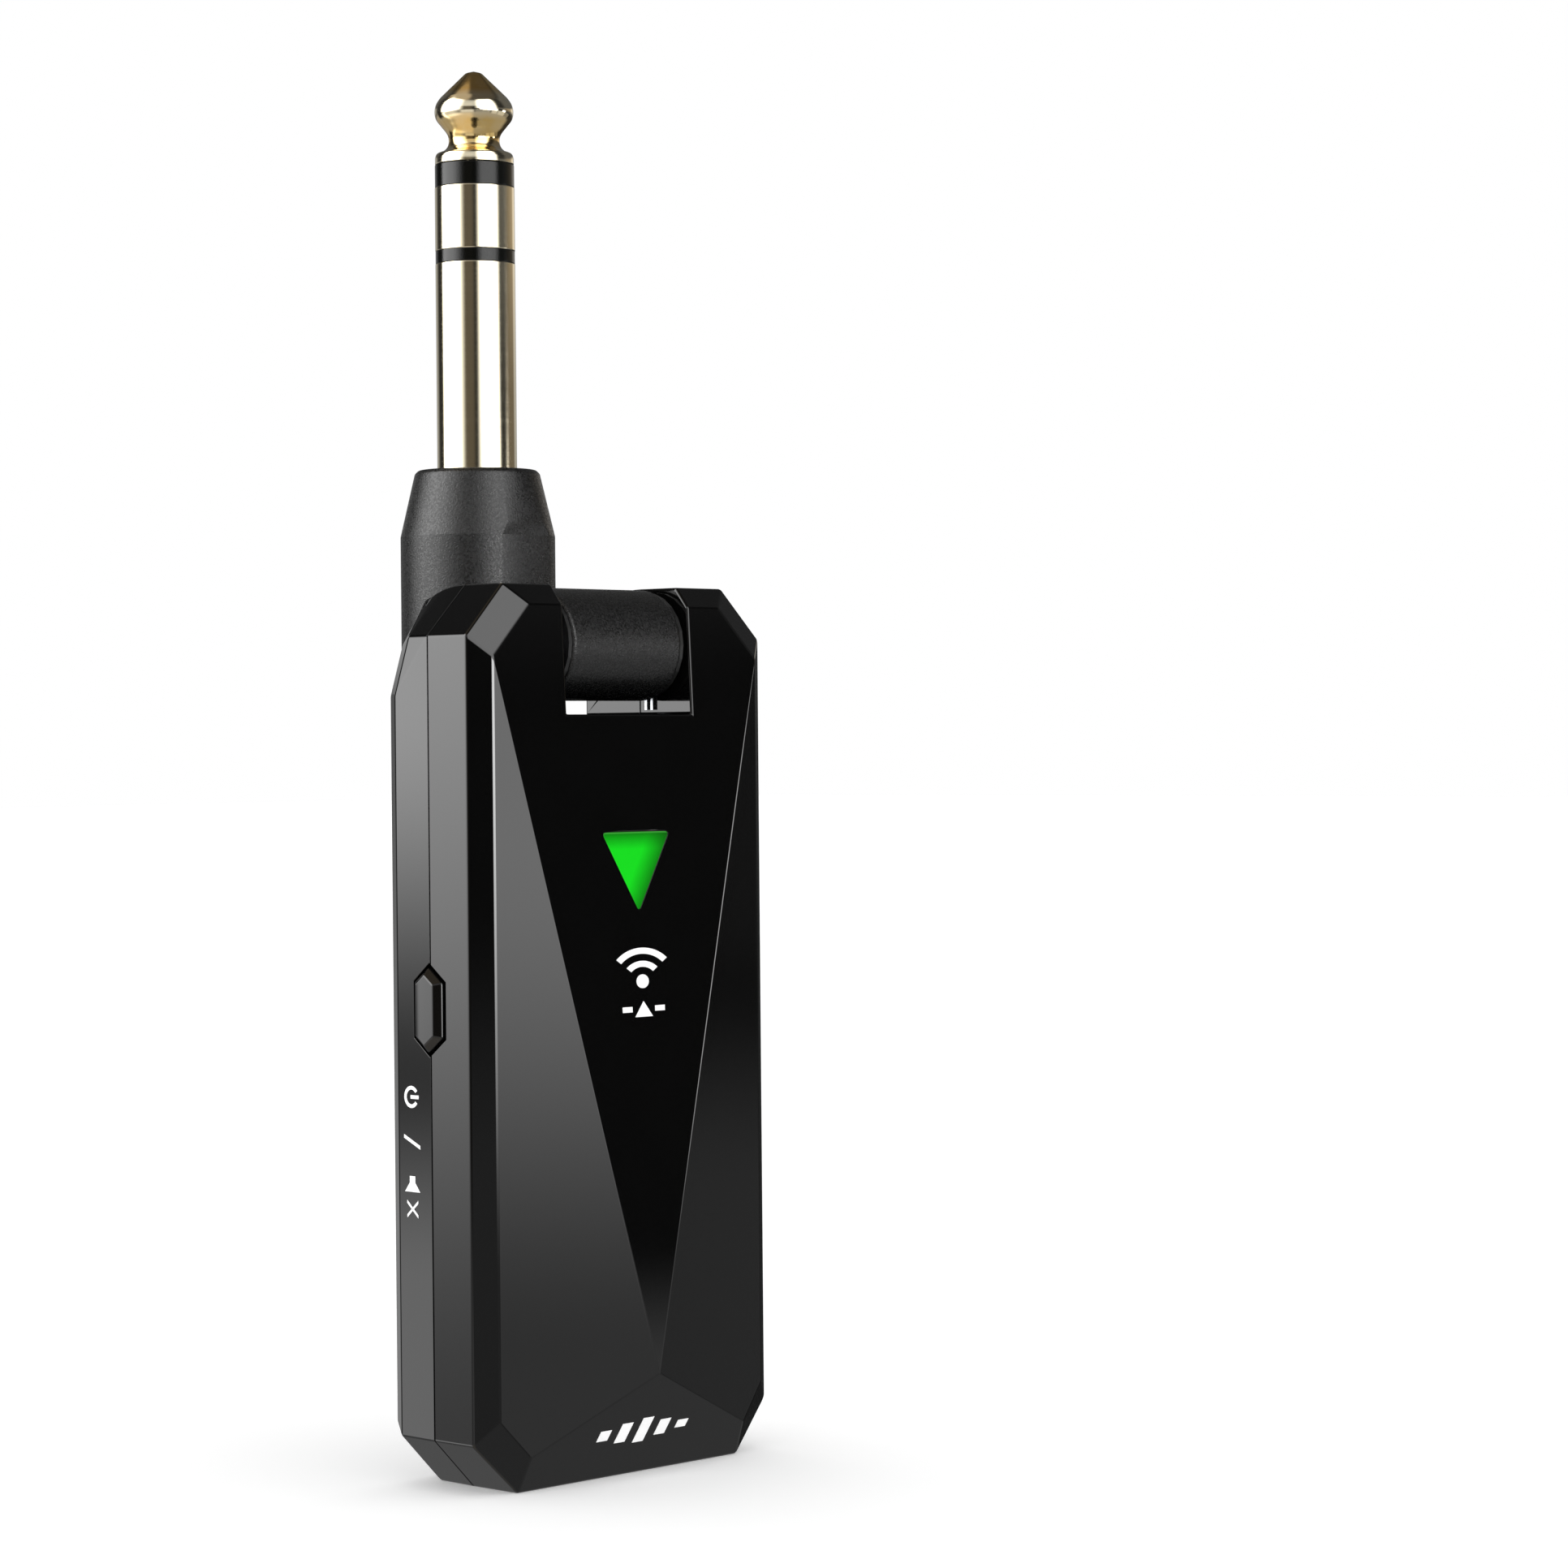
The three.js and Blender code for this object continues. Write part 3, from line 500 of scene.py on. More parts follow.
def lens_green():
    """A lit green window, with painted shade inside along its top and its right edge and a painted
    highlight along that rim.
    """
    s = Surface("green_lens")
    x, _, z = (s.node("ShaderNodeSeparateXYZ", {0: s.place}, i) for i in range(3))
    slope = (LIGHT_TOP - LIGHT_BOTTOM) / LIGHT_HALF
    from_top = s.node("ShaderNodeMath", {0: LIGHT_TOP * MM, 1: z}, operation="SUBTRACT")
    edge_z = s.node("ShaderNodeMath", {0: x, 1: slope, 2: LIGHT_BOTTOM * MM}, operation="MULTIPLY_ADD")
    above_edge = s.node("ShaderNodeMath", {0: z, 1: edge_z}, operation="SUBTRACT")
    # painted shade: the glow dims towards the window's top edge and towards its sloping right edge
    top = s.spread(from_top, 0.22, 1.0, 0.05 * MM, 1.3 * MM)
    right = s.spread(above_edge, 0.25, 1.0, 0.2 * MM, 3.8 * MM)
    share = s.node("ShaderNodeMath", {0: top, 1: right}, operation="MULTIPLY")
    mottle = s.spread(s.noise(0.5, 2), 0.98, 1.02)
    share = s.node("ShaderNodeMath", {0: share, 1: mottle}, operation="MULTIPLY")
    glow = s.blend(share, colour(0x064A06), colour(0x16DD20))
    # painted highlight: a paler green line along the top and right rim, where the window's edge would catch
    # light
    nearest = s.node("ShaderNodeMath", {0: from_top, 1: above_edge}, operation="MINIMUM")
    glow = s.blend(s.spread(nearest, 1.0, 0.0, 0.06 * MM, 0.14 * MM), glow, colour(0x3B9C36))
    dark = colour(0x010401)
    return s.set(Base_Color=dark, Roughness=0.15, IOR=1.3, Emission_Color=glow, Emission_Strength=1.0)


GLOSS = gloss_black()
GRAIN = grained_black()
NYLON = moulded("nylon_black", 0x111111, 0x1C1C1C)
INSULATOR = moulded("insulator", 0x080907, 0x0B0C0A, (0.1, 0.13), IOR=1.4)
NICKEL = plug_nickel()
STEEL = plain_metal("steel", 0xA9ACB0, 0xC4C7CB)
SCREW_STEEL = plain_metal("screw_steel", 0x6E7073, 0x8A8C90)
GOLD = plain_metal("gold", 0xC98F32, 0xE0B055)
GREEN = lens_green()
WHITE = moulded("white_plastic", 0xECECE8, 0xF8F8F4, (0.4, 0.55))
BOARD = circuit_board()
CHIP = moulded("chip_black", 0x0D0E10, 0x16171A, (0.45, 0.6))
FOIL = plain_metal("foil", 0x9DA1A6, 0xC0C3C7, (0.3, 0.42))
TAPE = moulded("tape", 0xDDDBD2, 0xEBE9E2, (0.6, 0.8))
RED = moulded("red_wire", 0x9E1A17, 0xBE2722)
BLACK_WIRE = moulded("black_wire", 0x121215, 0x1E1E22)
WHITE_WIRE = moulded("white_wire", 0xD2D0C9, 0xE6E4DD)
# white print with a slight painted glow, which lifts it to full white whatever light reaches it
GLOWING_INK = moulded("white_print_painted_glow", 0xF2F2F2, 0xFFFFFF, (0.4, 0.5), Emission_Strength=0.15)


# ------------------------------------------------------------------ case


def both_sides(points):
    return [(x * side, y, z) for x, y, z in points for side in (-1, 1)]


def octagon(y):
    return both_sides(
        [(HALF - CORNER, y, 0), (HALF, y, CORNER), (HALF, y, HEIGHT - CORNER), (HALF - CORNER, y, HEIGHT)]
    )


TOP_Z = HEIGHT - CORNER - TOP_CHAMFER
CENTRE_SLOPE = (PEAK.y - FRONT) / (PEAK.z - TOP_Z)
PANEL_SLOPE = (PEAK.y - FRONT) / (HALF - BEVEL_X)


def front_hull(shift=0.0):
    """The front's outer form: every panel is flat and meets the others at the peak."""
    panel = HALF - BEVEL_X
    rim = FRONT + BEVEL_Y
    foot_y = FRONT + PANEL_SLOPE * (panel - FOOT_X)
    bottom_y = foot_y - (PEAK.y - foot_y) / (PEAK.z - FOOT_Z) * FOOT_Z
    points = octagon(SEAM - SEAM_GAP / 2) + both_sides(
        [
            (HALF, rim, CORNER),
            (HALF, rim, HEIGHT - CORNER),
            (HALF - CORNER, rim + CENTRE_SLOPE * CORNER, HEIGHT),
            (HALF - CORNER, bottom_y, 0),
            (panel, FRONT, TOP_Z),
            (panel - CORNER, FRONT + CENTRE_SLOPE * CORNER, TOP_Z + CORNER),
            (panel, FRONT, FOOT_CORNER_Z),
            (FOOT_X, foot_y, FOOT_Z),
        ]
    )
    return moved(hull(points + [tuple(PEAK)]), y=shift)


def rear_hull(shift=0.0):
    """The back's outer form: bevelled all round, leaning forward and rounded over at its top."""
    edge = BACK - BACK_BEVEL_Y
    half = HALF - DRAFT * edge
    panel = half - BACK_BEVEL_X
    turn = BACK_BEVEL_X * (math.sqrt(2) - 1)
    lean = (BACK - SLANT_END_Y) / (SLANT_END_Z - SLANT_Z)
    corner_z = HEIGHT - CORNER
    seam = SEAM + SEAM_GAP / 2
    steps = 10
    shoulder = []
    for i in range(steps + 1):
        t = i / steps
        y = (1 - t) ** 2 * SLANT_END_Y + 2 * t * (1 - t) * (SLANT_END_Y - 0.6) + t**2 * seam
        z = (1 - t) ** 2 * SLANT_END_Z + (1 - (1 - t) ** 2) * HEIGHT
        shoulder.append((HALF - CORNER + 0.7 * (HEIGHT - z), y, z))
    points = octagon(seam) + both_sides(
        [
            (half, edge, CORNER),
            (half, edge, SLANT_Z),
            (half, edge - lean * (corner_z - SLANT_Z), corner_z),
            (half - CORNER, edge, 0),
            (panel, BACK, CORNER + turn),
            (panel - CORNER + turn, BACK, BACK_BEVEL_X),
            (panel, BACK, SLANT_Z),
            (panel, BACK - lean * (corner_z - SLANT_Z - turn), corner_z - turn),
            *shoulder,
        ]
    )
    return moved(hull(points), y=shift)


def case_outline(inset):
    """The case seen from the front, with its notch, drawn inside the true outline."""
    half = HALF - inset
    leg = CORNER - inset * (2 - math.sqrt(2))
    top = HEIGHT - inset
    notch = NOTCH_HALF + inset
    floor = NOTCH_FLOOR - inset
    right = [
        (half - leg, inset),
        (half, inset + leg),
        (half, top - leg),
        (half - leg, top),
        (notch, top),
        (notch, floor),
    ]
    return right + [(-x, z) for x, z in reversed(right)]


def notch_block():
    return block((-NOTCH_HALF, -20, NOTCH_FLOOR), (NOTCH_HALF, 20, HEIGHT + 5))


def button_outline(grow):
    """An elongated hexagon with its points up and down."""
    half = BUTTON_WIDTH / 2 + grow
    tip = BUTTON_LENGTH / 2 + grow
    shoulder = tip - BUTTON_POINT * half / (BUTTON_WIDTH / 2)
    right = [(0, -tip), (half, -shoulder), (half, shoulder)]
    corners = right + [(-y, -z) for y, z in right]
    return [(BUTTON_Y + y, BUTTON_Z + z) for y, z in corners]


def port_outline(grow):
    radius = PORT_HEIGHT / 2 + grow
    reach = PORT_LENGTH / 2 + grow - radius
    lower = arc((PORT_Y, PORT_Z - reach), radius, 180, 360, 16)
    return lower + arc((PORT_Y, PORT_Z + reach), radius, 0, 180, 16)


def light_outline(grow, reach=0.45, steps=6):
    """A triangle, point down, with each corner rounded over its last reach millimetres."""
    slope = math.atan2(LIGHT_TOP - LIGHT_BOTTOM, LIGHT_HALF)
    half = LIGHT_HALF + grow / math.tan(slope / 2)
    corners = [
        Vector((half, LIGHT_TOP + grow)),
        Vector((-half, LIGHT_TOP + grow)),
        Vector((0, LIGHT_BOTTOM - grow / math.cos(slope))),
    ]
    outline = []
    for i, corner in enumerate(corners):
        before = corner + (corners[i - 1] - corner).normalized() * reach
        after = corner + (corners[(i + 1) % 3] - corner).normalized() * reach
        for k in range(steps + 1):
            t = k / steps
            outline.append(tuple((1 - t) ** 2 * before + 2 * t * (1 - t) * corner + t**2 * after))
    return outline


def edge_share(edge):
    """How much of the full rounding an edge off the facets gets."""
    middle = (edge.verts[0].co + edge.verts[1].co) / 2
    if abs(middle.x) < LIGHT_HALF + 0.5 and LIGHT_BOTTOM - 0.5 < middle.z < LIGHT_TOP + 0.5:
        return 0.1
    beside_button = abs(middle.z - BUTTON_Z) < BUTTON_LENGTH and abs(middle.y - BUTTON_Y) < BUTTON_WIDTH
    if middle.x < WALL - HALF and beside_button:
        return 0.2
    if all(abs(corner.co.y - SEAM) < SEAM_GAP for corner in edge.verts):
        return SEAM_EDGE
    return 1.0 if abs(abs(middle.x) - NOTCH_HALF) < GAP else FINE_EDGE


def weigh_edges(body, planes, crease=28):
    """Marks for rounding the edges between the case's facets, and every edge sharper than crease."""

    def on_facet(face):
        return any(face.normal.dot(plane) > 0.99999 for plane in planes)

    def at_peak(edge):
        return any((corner.co - PEAK).length < GAP for corner in edge.verts)

    weight = body.edges.layers.float.new("bevel_weight_edge")
    for edge in body.edges:
        if len(edge.link_faces) != 2:
            continue
        angle = math.degrees(edge.calc_face_angle(0))
        facets = all(on_facet(face) for face in edge.link_faces)
        if facets and angle > 1.5:
            edge[weight] = FINE_EDGE if at_peak(edge) else 1.0
        elif angle > crease:
            edge[weight] = edge_share(edge)
    return body


def facet_normals(body):
    """The directions of a half's outer facets, without the face where the halves meet."""
    return [face.normal.copy() for face in body.faces if abs(face.calc_center_median().y - SEAM) > SEAM_GAP]


def bearing_ribs(start, end):
    inner = RIB_OUTER - 1.2
    return [
        block((min(side * inner, side * RIB_OUTER), start, NOTCH_FLOOR),
              (max(side * inner, side * RIB_OUTER), end, HEIGHT - WALL))
        for side in (-1, 1)
    ]


def at_screws(make):
    return [moved(make(), x=x, z=z) for x, z in SCREWS]


def pillar(radius, start, end):
    """A round bar along Y."""
    return along(rod(radius, start, end, 0.01), "y")


def at_hinge(body):
    return moved(body, y=HINGE.y, z=HINGE.z)


def hinge_bore():
    return at_hinge(along(rod(BORE_RADIUS, -RIB_OUTER - 1, RIB_OUTER + 1, 0.01), "x"))


def front_shell():
    planes = facet_normals(front_hull())
    inner = common(prism(case_outline(WALL), PEAK.y, SEAM + 1, "y"), front_hull(WALL))
    slot = block(
        (-RIB_OUTER - 1, HINGE.y, HINGE.z - BORE_RADIUS), (RIB_OUTER + 1, SEAM + 1, HINGE.z + BORE_RADIUS)
    )
    shell = cut(front_hull(), inner, notch_block())
    bosses = at_screws(lambda: pillar(BOSS_RADIUS, FRONT + ROOT, BOSS_FACE))
    spigots = at_screws(lambda: pillar(SPIGOT_RADIUS, BOSS_FACE - 1, SEAM))
    body = cut(
        join(shell, *bosses, *spigots, *bearing_ribs(FRONT + ROOT, SEAM)),
        *at_screws(lambda: pillar(PILOT_RADIUS, FRONT + 2 * ROOT, SEAM + 1)),
        hinge_bore(),
        slot,
        prism(light_outline(0), PEAK.y - 1, -2, "y"),
        prism(button_outline(0), -HALF - 1, -HALF + 2 * WALL, "x"),
        prism(port_outline(0.2), HALF - 2 * WALL, HALF + 1, "x"),
    )
    weigh_edges(body, planes)
    return piece("case_front", body, GLOSS, "housing", ["front_shell"], EDGE)


def rear_shell():
    planes = facet_normals(rear_hull())
    inner = common(prism(case_outline(WALL), SEAM - 1, BACK, "y"), rear_hull(-WALL))
    shell = cut(rear_hull(), inner, notch_block())
    bosses = at_screws(lambda: pillar(REAR_BOSS_RADIUS, SEAM + GAP, BACK - ROOT))
    body = cut(
        join(shell, *bosses, *bearing_ribs(SEAM, SLANT_END_Y - GAP)),
        *at_screws(lambda: pillar(CLEARANCE_RADIUS, SEAM - 1, BACK + 1)),
        *at_screws(lambda: pillar(SCREW_HEAD + 0.2, BACK - SCREW_RECESS, BACK + 1)),
        hinge_bore(),
        prism(button_outline(0), -HALF - 1, -HALF + 2 * WALL, "x"),
        prism(port_outline(0.2), HALF - 2 * WALL, HALF + 1, "x"),
    )
    weigh_edges(body, planes)
    return piece("case_rear", body, GLOSS, "housing", ["rear_shell"], EDGE)


def case_screw(i, x, z):
    """A pan-headed screw along Y, with a cross in its head."""
    top = BACK - SCREW_RECESS + SCREW_CROWN
    flat = 0.9  # radius of the head's flat top, which the cross spans
    slit = 0.2  # half the width of the cross's slots
    corners = [
        (0, top - SCREW_LENGTH - 1),
        (SCREW_SHANK, top - SCREW_LENGTH),
        (SCREW_SHANK, top - SCREW_CROWN),
        (SCREW_HEAD, top - SCREW_CROWN),
        (SCREW_HEAD, top - 0.3),
        (flat, top),
        (0, top),
    ]
    body = along(lathe(softened(corners, 0.25), 64), "y")
    slots = [
        prism([(-a, -b), (a, -b), (a, b), (-a, b)], top - 0.55, top + 1, "y")
        for a, b in ((flat, slit), (slit, flat))
    ]
    body = moved(cut(body, *slots), x=x, z=z)
    piece(f"screw_{i}", body, SCREW_STEEL, "housing", [f"case_screw_{i}"], sharp=35)


front_shell()
rear_shell()
for i, (x, z) in enumerate(SCREWS):
    case_screw(i + 1, x, z)


# ------------------------------------------------------------------ light and button


def led_lens():
    window = common(prism(light_outline(-0.01), PEAK.y - 1, -2, "y"), front_hull(0.02))
    body = common(window, block((-20, -20, 0), (20, FRONT + 1.5, 80)))
    return piece("led_lens_lit", body, GREEN, "housing", ["led_lens"], 0.08)


def power_button():
    """A hexagonal key whose face is two facets that meet in a very shallow upright ridge."""

    def face(inset, x, ridge=0.0):
        outline = button_outline(-inset)
        return [(x + ridge * abs(y - BUTTON_Y), y, z) for y, z in outline]

    play = 0.3  # between the key and its opening
    inner_end = face(play, 1.9 - HALF)
    shoulder = face(play, -HALF - 0.08)
    outer_end = face(0.85, box_mm("power_button")[0].x, 0.025)
    cap = hull(inner_end + shoulder + outer_end)
    return piece("power_button_cap", cap, GLOSS, "power_button", ["power_button"], 0.2, 8)


led_lens()
power_button()


# ------------------------------------------------------------------ printed marks

INK_DEPTH = 0.03


def ring_sector(inner, outer, start, end, steps=24):
    return arc((0, 0), outer, start, end, steps) + arc((0, 0), inner, end, start, steps)


def widened(outline, factor):
    return [(factor * u, v) for u, v in outline]


def disc(radius, steps=32):
    return arc((0, 0), radius, 0, 360, steps)[:-1]


def bar(width, height, centre=(0, 0), lean=0.0):
    """A rectangle around a centre, its top shifted sideways by lean."""
    x, y = centre
    a = width / 2
    b = height / 2
    corners = [(-a - lean / 2, -b), (a - lean / 2, -b), (a + lean / 2, b), (-a + lean / 2, b)]
    return [(x + u, y + v) for u, v in corners]


def shifted(outline, x, y):
    return [(x + u, y + v) for u, v in outline]


def printed(name, outlines, place):
    """White ink with a slight painted glow: outlines in the plane of a facet, put there by place(u, v,
    height).
    """
    body = bmesh.new()
    for outline in outlines:
        foot = [body.verts.new(place(u, v, 0.004)) for u, v in outline]
        face = [body.verts.new(place(u, v, INK_DEPTH)) for u, v in outline]
        body.faces.new(foot)
        body.faces.new(face)
        for i in range(len(outline)):
            body.faces.new((foot[i - 1], foot[i], face[i], face[i - 1]))
    bmesh.ops.recalc_face_normals(body, faces=body.faces[:])
    return piece(name, body, GLOWING_INK, "housing")


def on_plane(slope):
    """Places (x, z) on the facet that passes through the peak and leans back by slope with height."""
    normal = Vector((0, -1, slope)).normalized()

    def place(x, z, height):
        return Vector((x, PEAK.y + slope * (z - PEAK.z), z)) + normal * height

    return place


def on_side(u, v, height):
    """Places (u, v) on the button's side, with u running down and v towards the front."""
    y = 1.95 - v
    return (DRAFT * y - HALF - height, y, 25.5 - u)


def wireless_mark():
    """A dot under two arcs, the usual sign for a radio link, drawn wide."""
    arcs = [ring_sector(1.11, 1.57, 42, 138), ring_sector(2.11, 2.58, 42, 138)]
    shapes = [widened(disc(0.53), 1.25), *(widened(shape, 1.42) for shape in arcs)]
    outlines = [shifted(shape, 0, 38.12) for shape in shapes]
    return printed("wireless_mark", outlines, on_plane(CENTRE_SLOPE))


def sending_mark():
    """An upward arrow head between two dashes."""
    z = 36
    arrow = [(-0.95, z - 0.6), (0.95, z - 0.6), (0, z + 0.6)]
    dashes = [bar(1.05, 0.42, (side * 1.75, z)) for side in (-1, 1)]
    return printed("sending_mark", [arrow, *dashes], on_plane(CENTRE_SLOPE))


def level_mark():
    """Five leaning bars of different heights, an audio level."""
    slope = (FRONT + PANEL_SLOPE * (HALF - BEVEL_X - FOOT_X) - PEAK.y) / (FOOT_Z - PEAK.z)
    heights = (0.8, 1.5, 1.9, 1.2, 0.6)
    outlines = [
        bar(1.15, height, (2.1 * (i - 2), 3.55), 0.28 * height) for i, height in enumerate(heights)
    ]
    return printed("level_mark", outlines, on_plane(slope))


def power_mute_marks():
    """Signs for power and for a muted speaker, with a stroke between them, read downwards."""
    power = [ring_sector(0.56, 0.84, 125, 415), bar(0.28, 0.95, (0, 0.38))]
    outlines = [shifted(shape, -4.3, -0.05) for shape in power]
    outlines.append(bar(0.28, 1.9, (-0.9, 0), 0.8))
    speaker = [(1.7, -0.32), (2.2, -0.32), (2.9, -0.9), (2.9, 0.9), (2.2, 0.32), (1.7, 0.32)]
    cross = [bar(0.24, 1.3, (4.2, 0), lean) for lean in (-1.1, 1.1)]
    return printed("power_mute_marks", [*outlines, speaker, *cross], on_side)


wireless_mark()
sending_mark()
level_mark()
power_mute_marks()


# ------------------------------------------------------------------ arm and plug


def plug_arm():
    shoulder = [
        (BOOT_RADIUS, BOOT_SHOULDER),
        (BOOT_TOP_RADIUS, BOOT_TOP - 0.3),
        (BOOT_TOP_RADIUS - 0.3, BOOT_TOP),
        (0, BOOT_TOP),
    ]
    turn = (BOOT_RADIUS - BOOT_FOOT_ROUND, BOOT_FOOT + BOOT_FOOT_ROUND)
    foot = [(0, BOOT_FOOT), *arc(turn, BOOT_FOOT_ROUND, -90, 0, 12)]
    boot = moved(lathe(softened(foot + shoulder, 0.35)), y=BOOT_Y)
    cavity = rod(CAVITY_RADIUS, *CAVITY, 0.01)
    beyond_flat = block((-8, -20, -5), (8, BOOT_Y - BOOT_FLAT, BOOT_TOP + 1))
    barrel = along(rod(BARREL_RADIUS, -BARREL_HALF, BARREL_HALF, 0.3), "x")
    web = block((-WEB_HALF, 0, -WEB_HEIGHT / 2), (WEB_HALF, BOOT_Y - 4, WEB_HEIGHT / 2))
    body = cut(
        join(cut(boot, beyond_flat), barrel, web),
        moved(cavity, y=BOOT_Y),
        moved(rod(PLUG_RADIUS + GAP, 4, BOOT_TOP + 1, 0.01), y=BOOT_Y),
        pillar(WIRE_CHANNEL, 0, BOOT_Y),
        along(rod(PIVOT_RADIUS + GAP, -BARREL_HALF - 1, BARREL_HALF + 1, 0.01), "x"),
    )
    return piece("arm_moulding", at_hinge(body), GRAIN, "plug_arm", ["plug_arm"], 0.2, 25)


def at_seat(body):
    return moved(body, x=SEAT.x, y=SEAT.y, z=SEAT.z)


def spline(points, steps):
    """A smooth curve through (radius, height) points."""
    ends = [points[0]] + points + [points[-1]]
    made = []
    for p0, p1, p2, p3 in zip(ends, ends[1:], ends[2:], ends[3:]):
        for i in range(steps):
            t = i / steps
            made.append(
                tuple(
                    0.5 * (2 * b + (c - a) * t + (2 * a - 5 * b + 4 * c - d) * t**2
                           + (3 * b - a - 3 * c + d) * t**3)
                    for a, b, c, d in zip(p0, p1, p2, p3)
                )
            )
    return made + [points[-1]]


def plug_tip():
    """The tip, with the rod that carries it down through the plug."""
    base = TIP_BAND[1] + GAP
    foot = box_mm("plug_tip")[0].z - SEAT.z
    collar = PLUG_RADIUS - 0.04
    curve = spline(
        [
            (collar, base + 0.5),
            (2.98, base + 0.84),
            (2.5, base + 1.04),
            (2.15, base + 1.38),
            (2.02, base + 1.88),
            (2.15, base + 2.44),
            (2.6, base + 3.04),
            (3.02, base + 3.6),
            (3.14, base + 4.2),
            (3.0, base + 4.8),
            (2.67, base + 5.3),
        ],
        6,
    )
    profile = [(0, foot), (TIP_ROD, foot), (TIP_ROD, base), (collar - 0.05, base), (collar, base + 0.05)]
    profile += curve
    profile += softened([(2.67, base + 5.3), (0.64, PLUG_LENGTH - 0.16), (0, PLUG_LENGTH)], 0.5)[1:]
    return piece("tip", at_seat(lathe(profile, 128)), NICKEL, "plug_arm", ["plug_tip"], sharp=35)


def plug_tube(name, node, band, radius, core, material):
    """A band of the plug on the tube, its core, that runs down from it into the boot."""
    inner, outer = core
    low, high = band
    foot = box_mm(node)[0].z - SEAT.z
    corners = [(outer, foot), (outer, low), (radius, low), (radius, high), (inner, high), (inner, foot)]
    middle = ((inner + outer) / 2, foot)
    body = at_seat(lathe(softened([middle, *corners, middle], 0.06)[:-1], 128))
    return piece(name, body, material, "plug_arm", [node], sharp=35)


def contact(name, band, core):
    return plug_tube(name, f"plug_{name}", band, PLUG_RADIUS, core, NICKEL)


def insulator(node, band, core):
    return plug_tube(f"{node}_band", node, band, PLUG_RADIUS - 0.02, core, INSULATOR)


def wave_spring(side):
    """A springy washer with three crests and a forked tab that keeps it from turning."""
    crest = 0.24
    thickness = 0.15
    inner, outer, tab_end = 2.15, 3.3, 5.05
    ring = tube(inner, outer, 0, thickness, 0.03)
    for vert in ring.verts:
        vert.co.z += crest / 2 * (1 + math.cos(3 * math.atan2(vert.co.y, vert.co.x)))
    tab = block((outer - 0.3, -0.45, crest), (tab_end, 0.45, crest + thickness))
    fork = block((4.1, -0.2, -1), (6, 0.2, 1))
    body = along(join(ring, cut(tab, fork)), "x")
    start = BARREL_HALF + SPRING_START if side > 0 else -BARREL_HALF - SPRING_START - SPRING_ROOM
    name = "right" if side > 0 else "left"
    moved(body, x=start)
    piece(f"{name}_spring", at_hinge(body), STEEL, "housing", [f"{name}_wave_spring"], sharp=40)


wave_spring(-1)
wave_spring(1)
plug_arm()
plug_tip()
insulator("tip_insulator", TIP_BAND, TIP_INSULATOR_CORE)
contact("ring", (RING_BAND[1], TIP_BAND[0]), RING_CORE)
insulator("ring_insulator", RING_BAND, RING_INSULATOR_CORE)
contact("sleeve", SLEEVE_BAND, SLEEVE_CORE)

# ------------------------------------------------------------------ finishes on the CAD's own nodes

FINISHES = {
    "light_shroud": WHITE,
    "status_led": WHITE,
    "switch_body": CHIP,
    "switch_plunger": WHITE,
    "main_board": BOARD,
    "radio_shield": FOIL,
    "antenna": STEEL,
    "control_chip": CHIP,
    "audio_chip": CHIP,
    "charging_socket": STEEL,
    "socket_tongue": NYLON,
    "battery_cell": FOIL,
    "battery_tape": TAPE,
    "battery_socket": WHITE,
    "battery_lead_negative": BLACK_WIRE,
    "battery_lead_positive": RED,
    "board_sleeve_wire": BLACK_WIRE,
    "board_tip_wire": WHITE_WIRE,
    "arm_sleeve_wire": BLACK_WIRE,
    "arm_tip_wire": WHITE_WIRE,
    "left_pivot": STEEL,
    "right_pivot": STEEL,
    "left_friction_washer": NYLON,
    "right_friction_washer": NYLON,
    "left_circlip": STEEL,
    "right_circlip": STEEL,
    "sleeve_terminal": GOLD,
    "terminal_washer_1": NYLON,
    "ring_terminal": GOLD,
    "terminal_washer_2": NYLON,
    "tip_terminal": GOLD,
}
for node, material in FINISHES.items():
    mesh = frame["nodes"][node].data
    mesh.materials.clear()
    mesh.materials.append(material)


# ------------------------------------------------------------------ stage


def floor():
    body = bmesh.new()
    corners = [(-3, -3, 0), (3, -3, 0), (3, 3, 0), (-3, 3, 0)]
    body.faces.new([body.verts.new(corner) for corner in corners])
    mesh = bpy.data.meshes.new("floor")
    body.to_mesh(mesh)
    body.free()
    s = Surface("pale_floor")
    tone = s.blend(s.noise(60), colour(0xF4F4F4), colour(0xFAFAFA))
    s.set(Base_Color=tone, Roughness=0.9, IOR=1.1, Emission_Color=colour(0xFFFFFF), Emission_Strength=0.2)
    mesh.materials.append(s.material)
    made = bpy.data.objects.new("floor", mesh)
    made.visible_glossy = False
    bpy.context.scene.collection.objects.link(made)


def maths(tree, operation, first, second):
    return add_node(tree, "ShaderNodeMath", {0: first, 1: second}, operation=operation)


def ramp(tree, value, start, end, low, high):
    inputs = {"Value": value, 1: start, 2: end, 3: low, 4: high}
    return add_node(tree, "ShaderNodeMapRange", inputs, interpolation_type="SMOOTHSTEP")


def window(tree, value, rise_start, rise_end, fall_start, fall_end):
    """1 from rise_end to fall_start, and 0 outside rise_start..fall_end."""
    up = ramp(tree, value, rise_start, rise_end, 0.0, 1.0)
    down = ramp(tree, value, fall_start, fall_end, 1.0, 0.0)
    return maths(tree, "MULTIPLY", up, down)


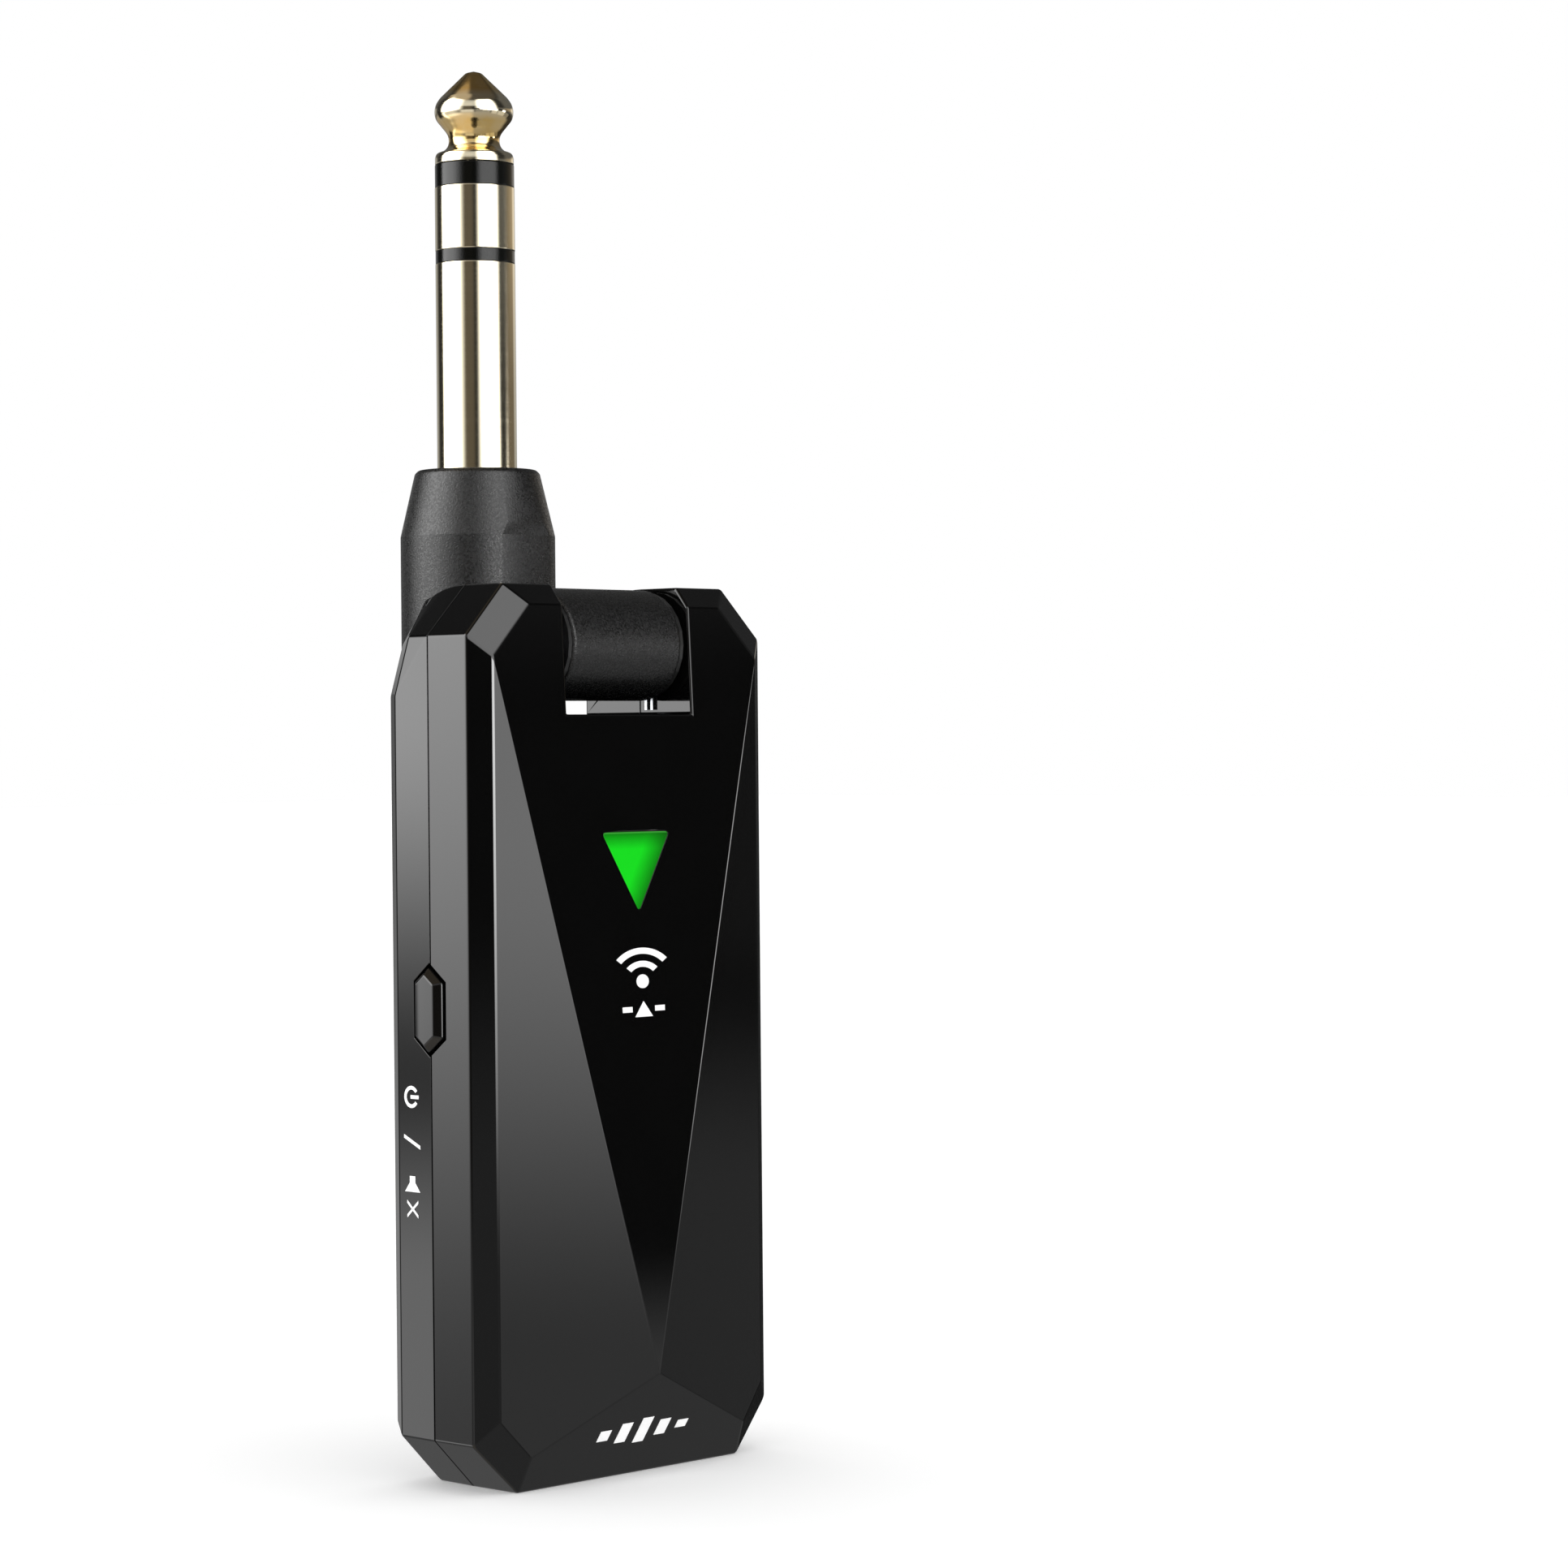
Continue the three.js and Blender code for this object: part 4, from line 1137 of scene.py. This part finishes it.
def studio(tree):
    """What polished surfaces mirror: soft cards, each over a range of bearings and of heights."""
    view = add_node(tree, "ShaderNodeTexCoord", {}, "Generated")
    x, y, z = (add_node(tree, "ShaderNodeSeparateXYZ", {0: view}, i) for i in range(3))
    turn = maths(tree, "MULTIPLY", maths(tree, "ARCTAN2", y, x), 180 / math.pi)
    bearing = maths(tree, "ADD", maths(tree, "MODULO", maths(tree, "ADD", turn, 260), 360), 100)
    rise = maths(tree, "MULTIPLY", maths(tree, "ARCSINE", z, 0), 180 / math.pi)

    neutral = (1, 1, 1)
    warm = (1, 0.82, 0.58)
    side = ramp(tree, rise, -9.5, 3.5, 0.7, 5.4)
    front = ramp(tree, rise, -8.2, -1, 0.6, 3.4)
    lamp = ramp(tree, rise, -7, 0.5, 0.3, 16)
    side_low = ramp(tree, rise, -7.2, -4.4, 2.1, 0.45)
    side_high = ramp(tree, rise, -4.4, 0.6, 0, 4.6)
    side_rear = maths(tree, "ADD", side_low, side_high)
    behind_left = ramp(tree, rise, -7, 1, 0.34, 0.13)
    behind_right = ramp(tree, rise, -2.5, 0.5, 0.02, 0.08)
    right = ramp(tree, bearing, 312, 372, 0.1, 0.4)
    below = (-28, -20)
    cards = [
        (side, neutral, (128.9, 130.3, 156, 199), (-50, -30, 40, 60)),
        (side_rear, neutral, (113, 126, 128.9, 130.3), (-50, -30, 40, 60)),
        (3.4, neutral, (228, 250, 284, 304), (2.0, 3.2, 45, 60)),
        (front, neutral, (279, 284, 299, 303), (*below, 2.2, 3.4)),
        (lamp, neutral, (244, 252, 274, 283), (*below, 2.0, 3.4)),
        (5.5, neutral, (320, 323, 330, 333), (-5, -2, 1.5, 3)),
        (0.08, warm, (185, 195, 215, 228), (-20, 3, 30, 40)),
        (right, neutral, (290, 312, 322, 340), (4.6, 7, 10, 14)),
        (right, warm, (322, 340, 372, 400), (4.6, 7, 10, 14)),
        (0.12, warm, (321, 328, 358, 380), (1.5, 3, 4.6, 7)),
        (0.04, neutral, (322, 330, 352, 362), (-4, -2, 2, 4)),
        (0.58, neutral, (301, 305, 329, 333), (*below, -4.4, -2.6)),
        (0.22, neutral, (331, 335, 350, 354), (*below, -6, -3)),
        (0.26, neutral, (229, 234, 245, 250), (*below, -6, -2)),
        (behind_left, neutral, (411, 416, 450, 458), (*below, 2, 3)),
        (behind_right, neutral, (352, 362, 388, 394), (*below, 2, 3)),
        (0.4, neutral, (360, 372, 430, 458), (2, 4, 10, 14)),
        (0.08, neutral, (320, 340, 430, 465), (9, 14, 42, 52)),
        (0.6, neutral, (168, 190, 232, 252), (12, 20, 40, 55)),
        (0.7, neutral, (180, 194, 222, 232), (-30, -18, -9, -5)),
        (0.38, warm, (100, 104, 190, 220), (40, 52, 76, 86)),
        (0.05, warm, (90, 95, 460, 465), (45, 60, 95, 96)),
        (0.37, neutral, (90, 95, 460, 465), (-95, -93, -29, -18)),
        (0.35, warm, (120, 140, 212, 232), (-80, -70, -35, -20)),
    ]
    total = (0.02, 0.02, 0.02)
    for brightness, tint, bearings, rises in cards:
        shape = maths(tree, "MULTIPLY", window(tree, bearing, *bearings), window(tree, rise, *rises))
        light = maths(tree, "MULTIPLY", shape, brightness)
        inputs = {0: light, 1: tint, 2: total}
        total = add_node(tree, "ShaderNodeVectorMath", inputs, operation="MULTIPLY_ADD")
    return total


def world():
    made = bpy.data.worlds.new("studio")
    made.use_nodes = True
    tree = made.node_tree
    output = tree.nodes["World Output"]
    path = tree.nodes.new("ShaderNodeLightPath")
    mirrored = add_node(tree, "ShaderNodeBackground", {"Color": studio(tree)})
    pale = add_node(tree, "ShaderNodeBackground", {"Color": (1, 1, 1, 1), "Strength": 1.0})
    mixed = add_node(
        tree, "ShaderNodeMixShader", {0: path.outputs["Is Glossy Ray"], 1: pale, 2: mirrored}
    )
    tree.links.new(mixed, output.inputs["Surface"])
    bpy.context.scene.world = made


def camera():
    """A long lens level with the middle of the object, off its left front corner."""
    data = bpy.data.cameras.new("camera")
    data.sensor_width = 36
    data.lens = 98.33
    made = bpy.data.objects.new("camera", data)
    heading, pitch, roll = (math.radians(a) for a in (43.25, -0.58, 0.5))
    turn = (
        Matrix.Rotation(heading - math.pi / 2, 4, "Z")
        @ Matrix.Rotation(math.pi / 2 + pitch, 4, "X")
        @ Matrix.Rotation(-roll, 4, "Z")
    )
    made.matrix_world = Matrix.Translation(Vector((-232.3, -240.75, 56.53)) * MM) @ turn
    bpy.context.scene.collection.objects.link(made)
    bpy.context.scene.camera = made


floor()
world()
camera()
bpy.context.scene.view_settings.view_transform = "Standard"
